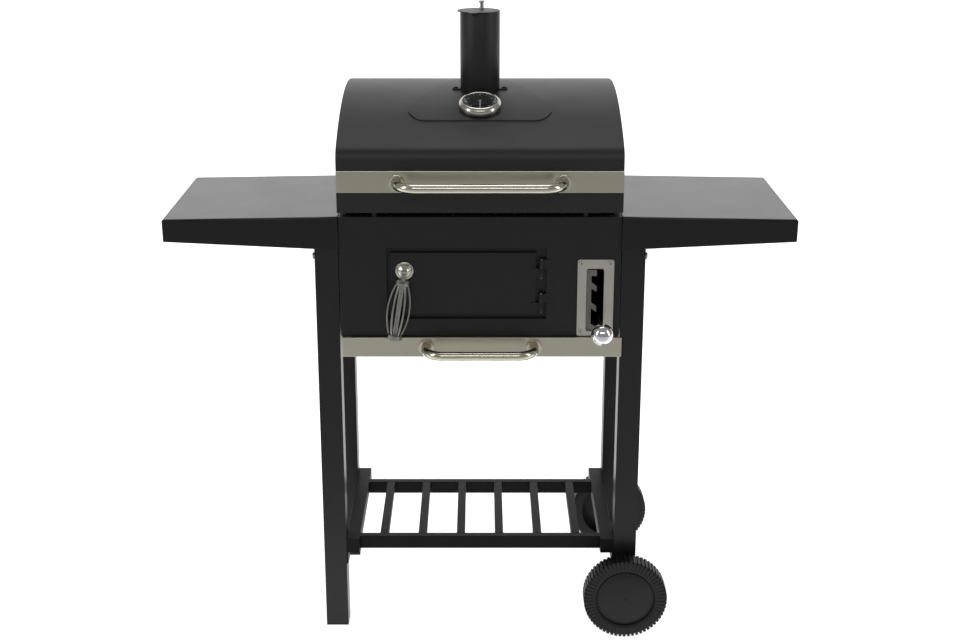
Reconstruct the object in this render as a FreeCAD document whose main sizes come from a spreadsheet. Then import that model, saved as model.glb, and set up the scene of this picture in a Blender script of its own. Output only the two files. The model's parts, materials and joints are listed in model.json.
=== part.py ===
import FreeCAD, Part
import math
import os
import re

import Sketcher

# A charcoal grill on a cart: a sheet-steel firebox with a hinged, domed lid and a chimney,
# carried by four square legs, with a shelf on each side, a slatted rack below and two wheels.
#
# Frame: +X to the right of someone standing at the front, -Y towards that person, +Z up.
# The origin is on the ground, under the middle of the whole grill. Sizes are in millimetres.
# "Behind" in a name or comment is measured from the front plane, the front face of the legs,
# which the firebox and the lid share.

doc = FreeCAD.newDocument("cart_grill")

# Driving sizes: alias, value.
SIZES = (
    # cart frame
    ("leg_size", 40), ("leg_wall", 1.5), ("frame_depth", 324), ("short_leg_bottom", 50),
    ("leg_top_gap", 6), ("plug_flange", 3), ("plug_depth", 14), ("plug_gap", 0.2),
    ("rail_size", 24), ("rail_wall", 1.5), ("rack_height", 150), ("cross_rail_width", 15),
    ("cross_rail_front", 12.5), ("cross_rail_back", 70), ("slat_width", 15),
    ("slat_side_room", 36), ("bracket_plate", 3), ("bracket_drop", 25),
    # wheels
    ("wheel_dia", 150), ("wheel_width", 34), ("wheel_gap", 9), ("tread_depth", 1.8),
    ("tread_rib", 4.8), ("rim_step", 21), ("side_ridge", 1), ("hub_dia", 30), ("web_plate", 4),
    ("axle_dia", 10), ("axle_fit", 0.05), ("axle_head_dia", 18), ("axle_head", 4),
    ("cap_rise", 6), ("cap_wall", 2),
    # firebox
    ("body_width", 480), ("body_depth", 486), ("body_bottom", 562), ("body_height", 211),
    ("body_leg_gap", 2), ("body_sheet", 1.5), ("top_flange", 12), ("bolt_drop", 73),
    ("bolt_dia", 6), ("bolt_gap", 0.3), ("bolt_head_dia", 13), ("bolt_head", 5),
    ("ash_hole_side", 90), ("ash_hole_end", 73),
    # charging door
    ("recess_left", -159.5), ("recess_width", 273), ("recess_rise", 30.6),
    ("recess_height", 126.8), ("recess_depth", 8), ("leaf_left_gap", 6.5),
    ("leaf_right_gap", 17.5), ("leaf_low_gap", 9.9), ("leaf_high_gap", 8.8), ("leaf_depth", 7),
    ("leaf_sheet", 1.5),
    ("leaf_gap", 0.5), ("door_lap", 10), ("hinge_pin_dia", 3), ("hinge_fit", 0.05),
    ("pin_grip", 0.02), ("knuckle_dia", 7), ("knuckle_length", 16), ("knuckle_gap", 0.3),
    ("door_axis_in", 8.5), ("door_axis_out", 2.5), ("upper_hinge_drop", 27.6),
    ("lower_hinge_rise", 19.5), ("hinge_strap", 1.5), ("strap_lap", 8), ("handle_in", 24),
    ("handle_drop", 31.6), ("rosette_dia", 31), ("rosette_thick", 9), ("spindle_dia", 6),
    ("spindle_fit", 0.05), ("latch_length", 12), ("latch_plate", 2), ("latch_width", 10),
    ("cage_out", 24), ("cage_tilt", 9), ("cage_dia", 40), ("cage_collar_dia", 24),
    ("cage_collar", 6), ("cage_length", 90), ("cage_neck", 12), ("cage_cap_dia", 26),
    ("cage_cap", 9), ("cage_wire", 3.2), ("cage_core", 9), ("cage_wires", 6),
    # fire height adjuster
    ("plate_side", 11.1), ("plate_width", 62.2), ("plate_height", 137), ("plate_sheet", 2),
    ("plate_corner", 4), ("slot_side", 15.3), ("slot_width", 30), ("slot_rise", 9),
    ("slot_drop", 16), ("slot_lip", 2), ("screw_inset", 6.5), ("screw_dia", 4),
    ("screw_head_dia", 8), ("screw_head", 2.2), ("screw_gap", 0.2), ("screw_length", 10),
    ("comb_spine", 9), ("comb_tooth", 9), ("comb_sheet", 2), ("comb_tooth_drop", 7),
    ("comb_tooth_height", 11), ("lever_in", 24.5), ("lever_dia", 7), ("lever_eye_width", 11),
    ("lever_droop", 5), ("shaft_behind", 150), ("shaft_rise", 40), ("shaft_dia", 10),
    ("shaft_end_gap", 1), ("knob_dia", 38), ("knob_out", 60), ("knob_drop", 18),
    ("arm_length", 60), ("arm_lead", 10), ("arm_dia", 10), ("arm_plate", 6),
    ("arm_spread", 240), ("shaft_collar_dia", 18),
    # charcoal tray and cooking grates
    ("tray_side_room", 55), ("tray_front", 20), ("tray_rear_room", 36), ("tray_wall", 25),
    ("tray_sheet", 1.5), ("tray_lift_gap", 1.5), ("ledge_width", 16), ("ledge_sheet", 2),
    ("grate_drop", 28), ("grate_thick", 10), ("grate_edge_gap", 1.5), ("grate_bearing", 9),
    ("grate_rim", 10), ("grate_slot", 10), ("grate_pitch", 17), ("grate_slot_margin", 12),
    ("grate_joint_gap", 1),
    # ash drawer
    ("strip_height", 35), ("strip_gap", 0.5), ("strip_over", 1), ("strip_shift", 3.5),
    ("strip_proud", 9), ("strip_back_gap", 1), ("strip_sheet", 1.5), ("drawer_side_room", 18),
    ("drawer_rear_room", 46), ("drawer_wall", 26), ("drawer_top_gap", 4),
    ("drawer_sheet", 1.2), ("runner_width", 8), ("runner_sheet", 1.2), ("runner_gap", 0.8),
    ("runner_end_gap", 2), ("drawer_handle_spread", 186), ("drawer_handle_out", 57),
    ("handle_dia", 16), ("handle_bend", 32), ("handle_rose_dia", 27), ("handle_rose", 3.5),
    # lid
    ("lid_side_over", 2), ("lid_rear_over", 4), ("lid_gap", 7.5), ("lid_sheet", 1.5),
    ("lid_apex", 270), ("lid_height", 178.5), ("front_shoulder", 27.5),
    ("front_wall_height", 86.5), ("rear_shoulder", 60), ("lid_edge_round", 2),
    ("trim_rise", 34.9), ("trim_height", 37), ("trim_sheet", 1.5), ("lid_handle_spread", 281),
    ("lid_handle_out", 49), ("lid_handle_rise", 17.6), ("lid_handle_bend", 36),
    ("bumper_x", 179), ("bumper_dia", 8), ("bumper_gap", 0.4), ("bumper_behind", 6.5),
    ("panel_rise", 2), ("panel_front", 78), ("panel_front_half", 107),
    ("panel_wide_at", 110), ("panel_wide_half", 128), ("panel_rear", 290),
    ("panel_rear_half", 42), ("panel_round", 26),
    # lid hinges
    ("lid_axis_out", 8), ("lid_pin_dia", 5), ("lid_pin_end", 2), ("lid_knuckle_dia", 11),
    ("lid_knuckle", 20), ("lid_knuckle_gap", 0.5), ("lid_hinge_x", 150),
    ("lid_leaf_height", 30), ("lid_leaf", 2), ("lid_leaf_drop", 4),
    # chimney and damper
    ("flue_dia", 70), ("flue_wall", 1.5), ("flue_behind", 205), ("flue_height", 134),
    ("ear_screw_out", 8), ("ear_end", 6), ("ear_width", 15), ("ear_rise", 2.5),
    ("ear_seat_sink", 0.6), ("damper_over", 2.5), ("damper_sheet", 1.5), ("damper_x", -2.5), ("damper_gap", 0.2),
    ("pivot_x", 3), ("pivot_in", 9), ("pivot_dia", 5), ("pivot_rise", 14),
    ("pivot_tab", 12), ("pivot_fit", 0.05), ("tab_x", -12), ("tab_dia", 17),
    ("spring_dia", 8), ("spring_wire", 1), ("spring_turns", 4), ("spring_gap", 0.2),
    ("nut_dia", 10), ("nut_height", 4),
    # thermometer
    ("gauge_behind", 120), ("gauge_dia", 75), ("gauge_height", 14), ("dial_dia", 57),
    ("dial_drop", 4), ("dial_sheet", 1), ("dial_gap", 0.1), ("glass_thick", 2),
    ("needle_length", 24), ("needle_width", 2.4), ("needle_thick", 0.8), ("needle_gap", 0.2),
    ("needle_hub_dia", 4.4), ("stem_dia", 6), ("stem_length", 56), ("stem_gap", 0.4),
    ("gauge_nut_dia", 16), ("gauge_nut", 6),
    # shelves
    ("shelf_length", 297), ("shelf_overhang", 3), ("shelf_gap", 1), ("shelf_rise", 1),
    ("shelf_sheet", 1.2), ("apron_outer", 39), ("apron_inner", 58), ("shelf_droop", 0.9),
    ("shelf_round", 4), ("shelf_bracket_length", 120), ("shelf_bracket_drop", 30),
    ("shelf_bracket_gap", 0.8),
)

# Values worked out from the driving sizes, in the same plain form.
WORKED_OUT = (
    ("lid_width", "body_width + 2 * lid_side_over"),
    ("lid_depth", "body_depth + lid_rear_over"),
    ("front", "(knob_out + knob_dia / 2 - lid_depth - lid_axis_out - lid_knuckle_dia / 2) / 2"),
    ("half_body", "body_width / 2"),
    ("body_top", "body_bottom + body_height"),
    ("leg_inner", "half_body + body_leg_gap"),
    ("leg_outer", "leg_inner + leg_size"),
    ("leg_middle", "leg_inner + leg_size / 2"),
    ("rear_leg", "frame_depth - leg_size"),
    ("shelf_height", "body_top + shelf_rise"),
    ("leg_top", "shelf_height - leg_top_gap"),
    ("plug_size", "leg_size - 2 * leg_wall - 2 * plug_gap"),
    ("rail_inner", "leg_inner - rail_size"),
    ("cross_rail_rear", "frame_depth - cross_rail_back"),
    ("slat_pitch", "(2 * rail_inner - 2 * slat_side_room - slat_width) / 5"),
    ("wheel_radius", "wheel_dia / 2"),
    ("face_radius", "wheel_radius - rim_step"),
    ("bolt_height", "body_top - bolt_drop"),
    ("recess_right", "recess_left + recess_width"),
    ("recess_bottom", "body_bottom + recess_rise"),
    ("recess_top", "recess_bottom + recess_height"),
    ("leaf_left", "recess_left + leaf_left_gap"),
    ("leaf_right", "recess_right - leaf_right_gap"),
    ("leaf_bottom", "recess_bottom + leaf_low_gap"),
    ("leaf_top", "recess_top - leaf_high_gap"),
    ("door_axis_x", "leaf_right + door_axis_in"),
    ("upper_hinge", "leaf_top - upper_hinge_drop"),
    ("lower_hinge", "leaf_bottom + lower_hinge_rise"),
    ("handle_x", "leaf_left + handle_in"),
    ("handle_z", "leaf_top - handle_drop"),
    ("plate_left", "half_body - plate_side - plate_width"),
    ("plate_top", "body_bottom + plate_height"),
    ("slot_left", "plate_left + slot_side"),
    ("slot_bottom", "body_bottom + slot_rise"),
    ("slot_top", "plate_top - slot_drop"),
    ("lever_x", "slot_left + lever_in"),
    ("shaft_height", "body_bottom + shaft_rise"),
    ("knob_height", "shaft_height - knob_drop"),
    ("arm_rise", "arm_length * sin(arm_lead - lever_droop) + arm_dia / 2"),
    ("tray_bottom", "shaft_height + arm_rise + tray_lift_gap"),
    ("tray_width", "body_width - 2 * tray_side_room"),
    ("tray_depth", "body_depth - tray_front - tray_rear_room"),
    ("grate_height", "body_top - grate_drop"),
    ("grate_inset", "top_flange + grate_edge_gap"),
    ("grate_width", "half_body - grate_inset - grate_joint_gap / 2"),
    ("grate_depth", "body_depth - 2 * grate_inset"),
    ("grate_ledge_width", "grate_inset + grate_bearing - body_sheet"),
    ("grate_slots", "floor((grate_width - 2 * grate_slot_margin - grate_slot) / grate_pitch) + 1"),
    ("strip_width", "body_width + 2 * strip_over"),
    ("strip_bottom", "body_bottom - strip_gap - strip_height"),
    ("drawer_width", "body_width - 2 * drawer_side_room"),
    ("drawer_depth", "body_depth - drawer_rear_room"),
    ("drawer_top", "body_bottom - drawer_top_gap"),
    ("drawer_bottom", "drawer_top - drawer_wall"),
    ("drawer_handle_reach", "drawer_handle_out - strip_proud"),
    ("lid_bottom", "body_top + lid_gap"),
    ("lid_top", "lid_bottom + lid_height"),
    ("front_wall_top", "lid_bottom + front_wall_height"),
    ("roof_rise", "lid_top - front_wall_top"),
    ("roof_radius", "((lid_apex - front_shoulder) ^ 2 + roof_rise ^ 2 - front_shoulder ^ 2)"
                    " / (2 * (roof_rise - front_shoulder))"),
    ("roof_centre", "lid_top - roof_radius"),
    ("rear_run", "lid_depth - rear_shoulder - lid_apex"),
    ("rear_wall_top", "roof_centre + sqrt((roof_radius - rear_shoulder) ^ 2 - rear_run ^ 2)"),
    ("trim_bottom", "lid_bottom + trim_rise"),
    ("lid_handle_height", "trim_bottom + lid_handle_rise"),
    ("lid_handle_reach", "lid_handle_out - trim_sheet"),
    ("lid_axis", "lid_depth + lid_axis_out"),
    ("lid_axis_height", "body_top + lid_gap / 2"),
    ("flue_foot", "roof_centre + sqrt(roof_radius ^ 2 - (lid_apex - flue_behind) ^ 2)"),
    ("flue_top", "lid_top + flue_height"),
    ("ear_screw_x", "flue_dia / 2 + ear_screw_out"),
    ("ear_reach", "ear_screw_x + ear_end"),
    ("screw_seat", "flue_foot + panel_rise + ear_rise - ear_seat_sink"),
    ("damper_dia", "flue_dia + 2 * damper_over"),
    ("pivot_back", "flue_dia / 2 - pivot_in"),
    ("damper_bottom", "flue_top + damper_gap"),
    ("damper_top", "damper_bottom + damper_sheet"),
    ("gauge_tilt", "asin((lid_apex - gauge_behind) / roof_radius)"),
    ("gauge_foot", "roof_centre + roof_radius * cos(gauge_tilt)"),
)

sheet = doc.addObject("Spreadsheet::Sheet", "sizes")
worked = doc.addObject("App::VarSet", "worked")
OWNER = {}


def formula(text):
    """Write each named size in the text the way an expression needs it."""
    return re.sub(r"[a-z][a-z_]*", lambda m: OWNER.get(m.group(), "") + m.group(), text)


def fill_sizes():
    """Put the driving sizes in the sheet and bind the worked-out ones to them."""
    for row, (alias, value) in enumerate(SIZES, start=1):
        sheet.set("A%d" % row, alias.replace("_", " "))
        sheet.set("B%d" % row, str(value))
        sheet.setAlias("B%d" % row, alias)
        OWNER[alias] = "sizes."
    doc.recompute()
    for name, text in WORKED_OUT:
        worked.addProperty("App::PropertyFloat", name)
        worked.setExpression(name, formula(text))
        OWNER[name] = "worked."
        doc.recompute()


def mm(name):
    """The number of one named size."""
    owner = sheet if OWNER[name] == "sizes." else worked
    return float(getattr(owner, name))


# Shared ways of making things. Every length is a text that names sizes.

parts = []


def sub_part(thing, name):
    """Label a finished object with its own name and list it for export."""
    thing.Label = name
    parts.append(thing)
    return thing


def put(thing, place, turn=None):
    """Place an object at x, y, z; y is given as a distance behind the front plane."""
    if turn:
        thing.Placement = FreeCAD.Placement(FreeCAD.Vector(), turn)
    lengths = (place[0], "front + (%s)" % place[1], place[2])
    for axis, text in zip("xyz", lengths):
        thing.setExpression("Placement.Base." + axis, formula(text))
    return thing


def block(name, place, size):
    """A box from its lowest corner, with y given behind the front plane."""
    box = doc.addObject("Part::Box", name)
    for prop, text in zip(("Length", "Width", "Height"), size):
        box.setExpression(prop, formula(text))
    return put(box, place)


ALONG = {
    "z": FreeCAD.Rotation(),
    "x": FreeCAD.Rotation(FreeCAD.Vector(0, 1, 0), 90),
    "-x": FreeCAD.Rotation(FreeCAD.Vector(0, 1, 0), -90),
    "y": FreeCAD.Rotation(FreeCAD.Vector(1, 0, 0), -90),
}


def rod(name, place, radius, length, along="z"):
    """A round bar from the centre of its first end."""
    bar = doc.addObject("Part::Cylinder", name)
    bar.setExpression("Radius", formula(radius))
    bar.setExpression("Height", formula(length))
    return put(bar, place, ALONG[along])


def ball(name, place, radius):
    """A sphere about its centre."""
    sphere = doc.addObject("Part::Sphere", name)
    sphere.setExpression("Radius", formula(radius))
    return put(sphere, place)


def joined(name, things):
    """One solid made of touching pieces."""
    fuse = doc.addObject("Part::MultiFuse", name)
    fuse.Shapes = things
    fuse.Refine = True
    return fuse


def group(name, things):
    """Separate solids kept together as one sub-part."""
    together = doc.addObject("Part::Compound", name)
    together.Links = things
    return together


def less(name, thing, tools):
    """An object with one or more others cut away."""
    tool = tools[0]
    if len(tools) > 1:
        tool = doc.addObject("Part::MultiFuse", name + "_tools")
        tool.Shapes = tools
    cut = doc.addObject("Part::Cut", name)
    cut.Base = thing
    cut.Tool = tool
    cut.Refine = True
    return cut


def new_body(name):
    """An empty PartDesign body."""
    return doc.addObject("PartDesign::Body", name)


def new_sketch(body, name, role):
    """A sketch on one of the body's own origin planes."""
    drawing = body.newObject("Sketcher::SketchObject", name)
    plane = [item for item in body.Origin.OriginFeatures if item.Role == role][0]
    drawing.AttachmentSupport = [(plane, "")]
    drawing.MapMode = "FlatFace"
    return drawing


def pin_point(drawing, index, end, across, up):
    """Hold one end of a sketch line at a named place."""
    for kind, text in (("DistanceX", across), ("DistanceY", up)):
        value = drawing.evalExpression(formula(text))
        if abs(value) < 1e-9:
            on = Sketcher.Constraint("PointOnObject", index, end, -2 if kind == "DistanceX" else -1)
            drawing.addConstraint(on)
            continue
        number = drawing.addConstraint(Sketcher.Constraint(kind, -1, 1, index, end, float(value)))
        drawing.setExpression("Constraints[%d]" % number, formula(text))


def outline(drawing, corners):
    """A closed outline of straight edges through named corners."""
    spots = [[float(drawing.evalExpression(formula(text))) for text in corner] for corner in corners]
    first = drawing.GeometryCount
    count = len(spots)
    for here, there in zip(spots, spots[1:] + spots[:1]):
        line = Part.LineSegment(FreeCAD.Vector(*here, 0), FreeCAD.Vector(*there, 0))
        drawing.addGeometry(line, False)
    for index in range(count):
        after = first + (index + 1) % count
        drawing.addConstraint(Sketcher.Constraint("Coincident", first + index, 2, after, 1))
    for index, corner in enumerate(corners):
        pin_point(drawing, first + index, 1, *corner)


def circle(drawing, across, up, radius):
    """A circle at a named place."""
    centre = FreeCAD.Vector(
        float(drawing.evalExpression(formula(across))),
        float(drawing.evalExpression(formula(up))), 0)
    size = float(drawing.evalExpression(formula(radius)))
    index = drawing.addGeometry(Part.Circle(centre, FreeCAD.Vector(0, 0, 1), size), False)
    pin_point(drawing, index, 3, across, up)
    number = drawing.addConstraint(Sketcher.Constraint("Radius", index, size))
    drawing.setExpression("Constraints[%d]" % number, formula(radius))


def rectangle(drawing, low, high):
    """A rectangle from its lowest to its highest corner."""
    outline(drawing, [low, (high[0], low[1]), high, (low[0], high[1])])


def pad(body, name, drawing, length, back=False, middle=False):
    """Push an outline out into a solid."""
    feature = body.newObject("PartDesign::Pad", name)
    feature.Profile = drawing
    feature.setExpression("Length", formula(length))
    feature.Reversed = back
    feature.Midplane = middle
    doc.recompute()
    return feature


def pocket(body, name, drawing, length, back=False, middle=False):
    """Cut an outline into a solid, and make sure that it cuts."""
    before = body.Shape.Volume
    feature = body.newObject("PartDesign::Pocket", name)
    feature.Profile = drawing
    feature.setExpression("Length", formula(length))
    feature.Reversed = back
    feature.Midplane = middle
    doc.recompute()
    if body.Shape.Volume >= before - 1e-6:
        raise RuntimeError(name + " cuts nothing")
    return feature


def turned(body, name, drawing, angle="360"):
    """Turn an outline about the sketch's upright axis."""
    feature = body.newObject("PartDesign::Revolution", name)
    feature.Profile = drawing
    feature.ReferenceAxis = (drawing, ["V_Axis"])
    feature.setExpression("Angle", angle)
    doc.recompute()
    return feature


def edges_where(shape, test):
    """Names of the edges for which the test holds."""
    return ["Edge%d" % (number + 1) for number, edge in enumerate(shape.Edges) if test(edge)]


def runs_along(edge, axis):
    """True for a straight edge along the given direction."""
    if edge.Curve.TypeId != "Part::GeomLine":
        return False
    return abs(abs(edge.Curve.Direction.dot(axis)) - 1) < 1e-6


def rounded(body, name, base, edges, radius):
    """Round the named edges of the last feature."""
    feature = body.newObject("PartDesign::Fillet", name)
    feature.Base = (base, edges)
    feature.setExpression("Radius", formula(radius))
    doc.recompute()
    return feature


X_AXIS = FreeCAD.Vector(1, 0, 0)
Y_AXIS = FreeCAD.Vector(0, 1, 0)
Z_AXIS = FreeCAD.Vector(0, 0, 1)


def square_tube(name, place, size, wall):
    """A hollow bar cut from the solid: a box less a smaller box, open along its longest side."""
    outer = block(name + "_outer", place, size)
    longest = max(range(3), key=lambda i: float(outer.evalExpression(formula(size[i]))))
    inner_place = [text if i == longest else "%s + %s" % (text, wall) for i, text in enumerate(place)]
    inner_size = [text if i == longest else "%s - 2 * %s" % (text, wall)
                  for i, text in enumerate(size)]
    return less(name, outer, [block(name + "_inner", inner_place, inner_size)])


# Cart frame.

def leg_hole(name, side, behind):
    """The hole for the bolt that holds the firebox, right through a leg."""
    start = "-leg_outer - 1" if side < 0 else "leg_inner - 1"
    radius = "bolt_dia / 2 + bolt_gap"
    return rod(name, (start, behind, "bolt_height"), radius, "leg_size + 2", "x")


def make_legs():
    """Four square tubes. The left pair stands on the ground, the right pair on the axle."""
    for side, side_name in ((-1, "left"), (1, "right")):
        for behind, end_name in (("0", "front"), ("rear_leg", "rear")):
            name = "%s_%s_leg" % (side_name, end_name)
            foot = "plug_flange" if side < 0 else "short_leg_bottom + plug_flange"
            low_x = "-leg_outer" if side < 0 else "leg_inner"
            tube = square_tube(name + "_tube", (low_x, behind, foot),
                               ("leg_size", "leg_size", "leg_top - (%s)" % foot), "leg_wall")
            middle = "%s + leg_size / 2" % behind
            tools = [leg_hole(name + "_bolt_hole", side, middle)]
            if side > 0:
                tools.append(rod(name + "_axle_hole", ("leg_middle", behind + " - 1", "wheel_radius"),
                                 "axle_dia / 2", "leg_size + 2", "y"))
            sub_part(less(name, tube, tools), name)


def make_leg_plugs():
    """Plastic plugs that close the four lower ends."""
    plugs = []
    for low_x, foot in (("-leg_outer", "0"), ("leg_inner", "short_leg_bottom")):
        for behind in ("0", "rear_leg"):
            flange = block("plug_flange_part", (low_x, behind, foot),
                           ("leg_size", "leg_size", "plug_flange"))
            inset = "leg_wall + plug_gap"
            spigot = block("plug_spigot", ("%s + %s" % (low_x, inset), "%s + %s" % (behind, inset),
                                           "%s + plug_flange" % foot),
                           ("plug_size", "plug_size", "plug_depth"))
            plugs.append(joined("leg_plug", [flange, spigot]))
    sub_part(group("plugs", plugs), "leg_plugs")


def make_rack():
    """The bottom rack: two side rails closed at the front, two cross rails and six slats."""
    sides = []
    for low_x in ("-leg_inner", "rail_inner"):
        bar = block("side_rail_outer", (low_x, "0", "rack_height"),
                    ("rail_size", "frame_depth", "rail_size"))
        room = block("side_rail_room", (low_x + " + rail_wall", "rail_wall", "rack_height + rail_wall"),
                     ("rail_size - 2 * rail_wall", "frame_depth", "rail_size - 2 * rail_wall"))
        sides.append(less("side_rail", bar, [room]))
    sub_part(group("side_rails", sides), "rack_side_rails")
    across = [square_tube("cross_rail", ("-rail_inner", behind, "rack_height"),
                          ("2 * rail_inner", "cross_rail_width", "rail_size"), "rail_wall")
              for behind in ("cross_rail_front", "cross_rail_rear")]
    sub_part(group("cross_rails", across), "rack_cross_rails")
    start = "cross_rail_front + cross_rail_width"
    slats = [square_tube("slat", ("%s * slat_pitch - slat_width / 2" % step, start,
                                  "rack_height + rail_size - slat_width"),
                         ("slat_width", "cross_rail_rear - cross_rail_front - cross_rail_width",
                          "slat_width"), "rail_wall")
             for step in (-2.5, -1.5, -0.5, 0.5, 1.5, 2.5)]
    sub_part(group("slats", slats), "rack_slats")


def make_rail_brackets():
    """An angle under each end of the side rails, fixed to the leg."""
    brackets = []
    for side in (-1, 1):
        for behind in ("0", "rear_leg"):
            low_x = "-leg_inner" if side < 0 else "rail_inner"
            shelf = block("bracket_shelf", (low_x, behind, "rack_height - bracket_plate"),
                          ("rail_size", "leg_size", "bracket_plate"))
            plate_x = "-leg_inner" if side < 0 else "leg_inner - bracket_plate"
            plate = block("bracket_web", (plate_x, behind, "rack_height - bracket_drop"),
                          ("bracket_plate", "leg_size", "bracket_drop"))
            brackets.append(joined("rail_bracket", [shelf, plate]))
    sub_part(group("rail_bracket_set", brackets), "rail_brackets")


def make_frame_bolts():
    """A bolt through each leg into the firebox wall, with its nut inside."""
    bolts = []
    for side in (-1, 1):
        for behind in ("leg_size / 2", "rear_leg + leg_size / 2"):
            head = doc.addObject("Part::Prism", "bolt_head_part")
            head.Polygon = 6
            head.setExpression("Circumradius", formula("bolt_head_dia / 2"))
            head.setExpression("Height", formula("bolt_head"))
            x = "leg_outer" if side > 0 else "-leg_outer"
            put(head, (x, behind, "bolt_height"), ALONG["x" if side > 0 else "-x"])
            nut = doc.addObject("Part::Prism", "bolt_nut")
            nut.Polygon = 6
            nut.setExpression("Circumradius", formula("bolt_head_dia / 2"))
            nut.setExpression("Height", formula("bolt_head"))
            inner = "half_body - body_sheet"
            x = inner if side > 0 else "-(%s)" % inner
            put(nut, (x, behind, "bolt_height"), ALONG["-x" if side > 0 else "x"])
            reach = "leg_size + body_leg_gap + body_sheet"
            start = "half_body - body_sheet" if side > 0 else "-leg_outer"
            shank = rod("bolt_shank", (start, behind, "bolt_height"), "bolt_dia / 2", reach, "x")
            bolts.append(joined("frame_bolt", [head, shank, nut]))
    sub_part(group("frame_bolt_set", bolts), "frame_bolts")


# Wheels.

def make_axle():
    """One steel rod through both right legs, with a head beyond each wheel."""
    reach = "wheel_gap + wheel_width - cap_wall - cap_rise"
    shaft = rod("axle_rod", ("leg_middle", "-(%s)" % reach, "wheel_radius"), "axle_dia / 2",
                "frame_depth + 2 * (%s)" % reach, "y")
    heads = [rod("axle_end", ("leg_middle", behind, "wheel_radius"), "axle_head_dia / 2",
                 "axle_head", "y")
             for behind in ("-(%s) - axle_head / 2" % reach,
                            "frame_depth + %s - axle_head / 2" % reach)]
    sub_part(joined("axle_whole", [shaft] + heads), "axle")


def make_wheel(name, outer_face, facing):
    """A moulded wheel: rim with a stepped side, web and hub. Facing is the way its face looks."""
    body = new_body(name + "_body")
    profile = new_sketch(body, name + "_section", "XZ_Plane")
    recess = "cap_wall + cap_rise + axle_head"
    outline(profile, [
        ("axle_dia / 2 + axle_fit", "wheel_width"),
        ("axle_dia / 2 + axle_fit", recess),
        ("hub_dia / 2 + 4", recess),
        ("hub_dia / 2 + 4", "cap_rise"),
        ("face_radius - 1", "cap_rise"),
        ("face_radius", "side_ridge + 1"),
        ("face_radius + 2", "side_ridge"),
        ("wheel_radius - tread_depth - 3", "side_ridge"),
        ("wheel_radius - tread_depth", "side_ridge + 3"),
        ("wheel_radius - tread_depth", "wheel_width - 3"),
        ("wheel_radius - tread_depth - 3", "wheel_width"),
        ("face_radius", "wheel_width"),
        ("face_radius", "cap_rise + 3 + web_plate"),
        ("hub_dia / 2", "cap_rise + 6 + web_plate + 4"),
        ("hub_dia / 2", "wheel_width"),
    ])
    turned(body, name + "_turned", profile)
    rib = new_sketch(body, name + "_rib_plan", "XY_Plane")
    rectangle(rib, ("face_radius + 3", "-tread_rib / 2"), ("wheel_radius", "tread_rib / 2"))
    tread = pad(body, name + "_rib", rib, "wheel_width - 2")
    ring = body.newObject("PartDesign::PolarPattern", name + "_tread")
    ring.Originals = [tread]
    ring.Axis = (rib, ["N_Axis"])
    ring.Angle = 360
    ring.Occurrences = 60
    body.Tip = ring
    turn = FreeCAD.Rotation(X_AXIS, -90 if facing < 0 else 90)
    put(body, ("leg_middle", outer_face, "wheel_radius"), turn)
    sub_part(body, name)


def make_wheel_cap(name, outer_face, facing):
    """The domed disc snapped into the wheel's face, over the axle's end."""
    body = new_body(name + "_body")
    profile = new_sketch(body, name + "_section", "XZ_Plane")
    outline(profile, [
        ("0", "0"),
        ("face_radius * 0.4", "0.8"),
        ("face_radius * 0.75", "2.4"),
        ("face_radius - 3", "4.6"),
        ("face_radius - 3", "cap_rise"),
        ("0", "cap_rise - 2"),
    ])
    turned(body, name + "_turned", profile)
    turn = FreeCAD.Rotation(X_AXIS, -90 if facing < 0 else 90)
    put(body, ("leg_middle", outer_face, "wheel_radius"), turn)
    sub_part(body, name)


def make_wheels():
    """The front and rear wheels with their caps."""
    front_face = "-wheel_gap - wheel_width"
    rear_face = "frame_depth + wheel_gap + wheel_width"
    for name, face, facing in (("front_wheel", front_face, -1), ("rear_wheel", rear_face, 1)):
        make_wheel(name, face, facing)
        make_wheel_cap(name + "_cap", face, facing)


# Firebox.

def make_firebox_shell():
    """Two sides and the back in one bent sheet, with a flange turned in along the top."""
    outer = block("shell_outer", ("-half_body", "body_sheet", "body_bottom"),
                  ("body_width", "body_depth - body_sheet", "body_top - body_bottom"))
    room = block("shell_room", ("-half_body + body_sheet", "body_sheet - 1", "body_bottom - 1"),
                 ("body_width - 2 * body_sheet", "body_depth - 2 * body_sheet + 1",
                  "body_top - body_bottom + 1 - body_sheet"))
    mouth = block("shell_mouth", ("-half_body + top_flange", "0", "body_bottom - 1"),
                  ("body_width - 2 * top_flange", "body_depth - top_flange",
                   "body_top - body_bottom + 2"))
    holes = [rod("shell_bolt_hole", (start, behind, "bolt_height"), "bolt_dia / 2 + bolt_gap", "4", "x")
             for start in ("-half_body - 1", "half_body - 3")
             for behind in ("leg_size / 2", "rear_leg + leg_size / 2")]
    sub_part(less("shell_formed", outer, [room, mouth] + holes), "firebox_shell")


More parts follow.
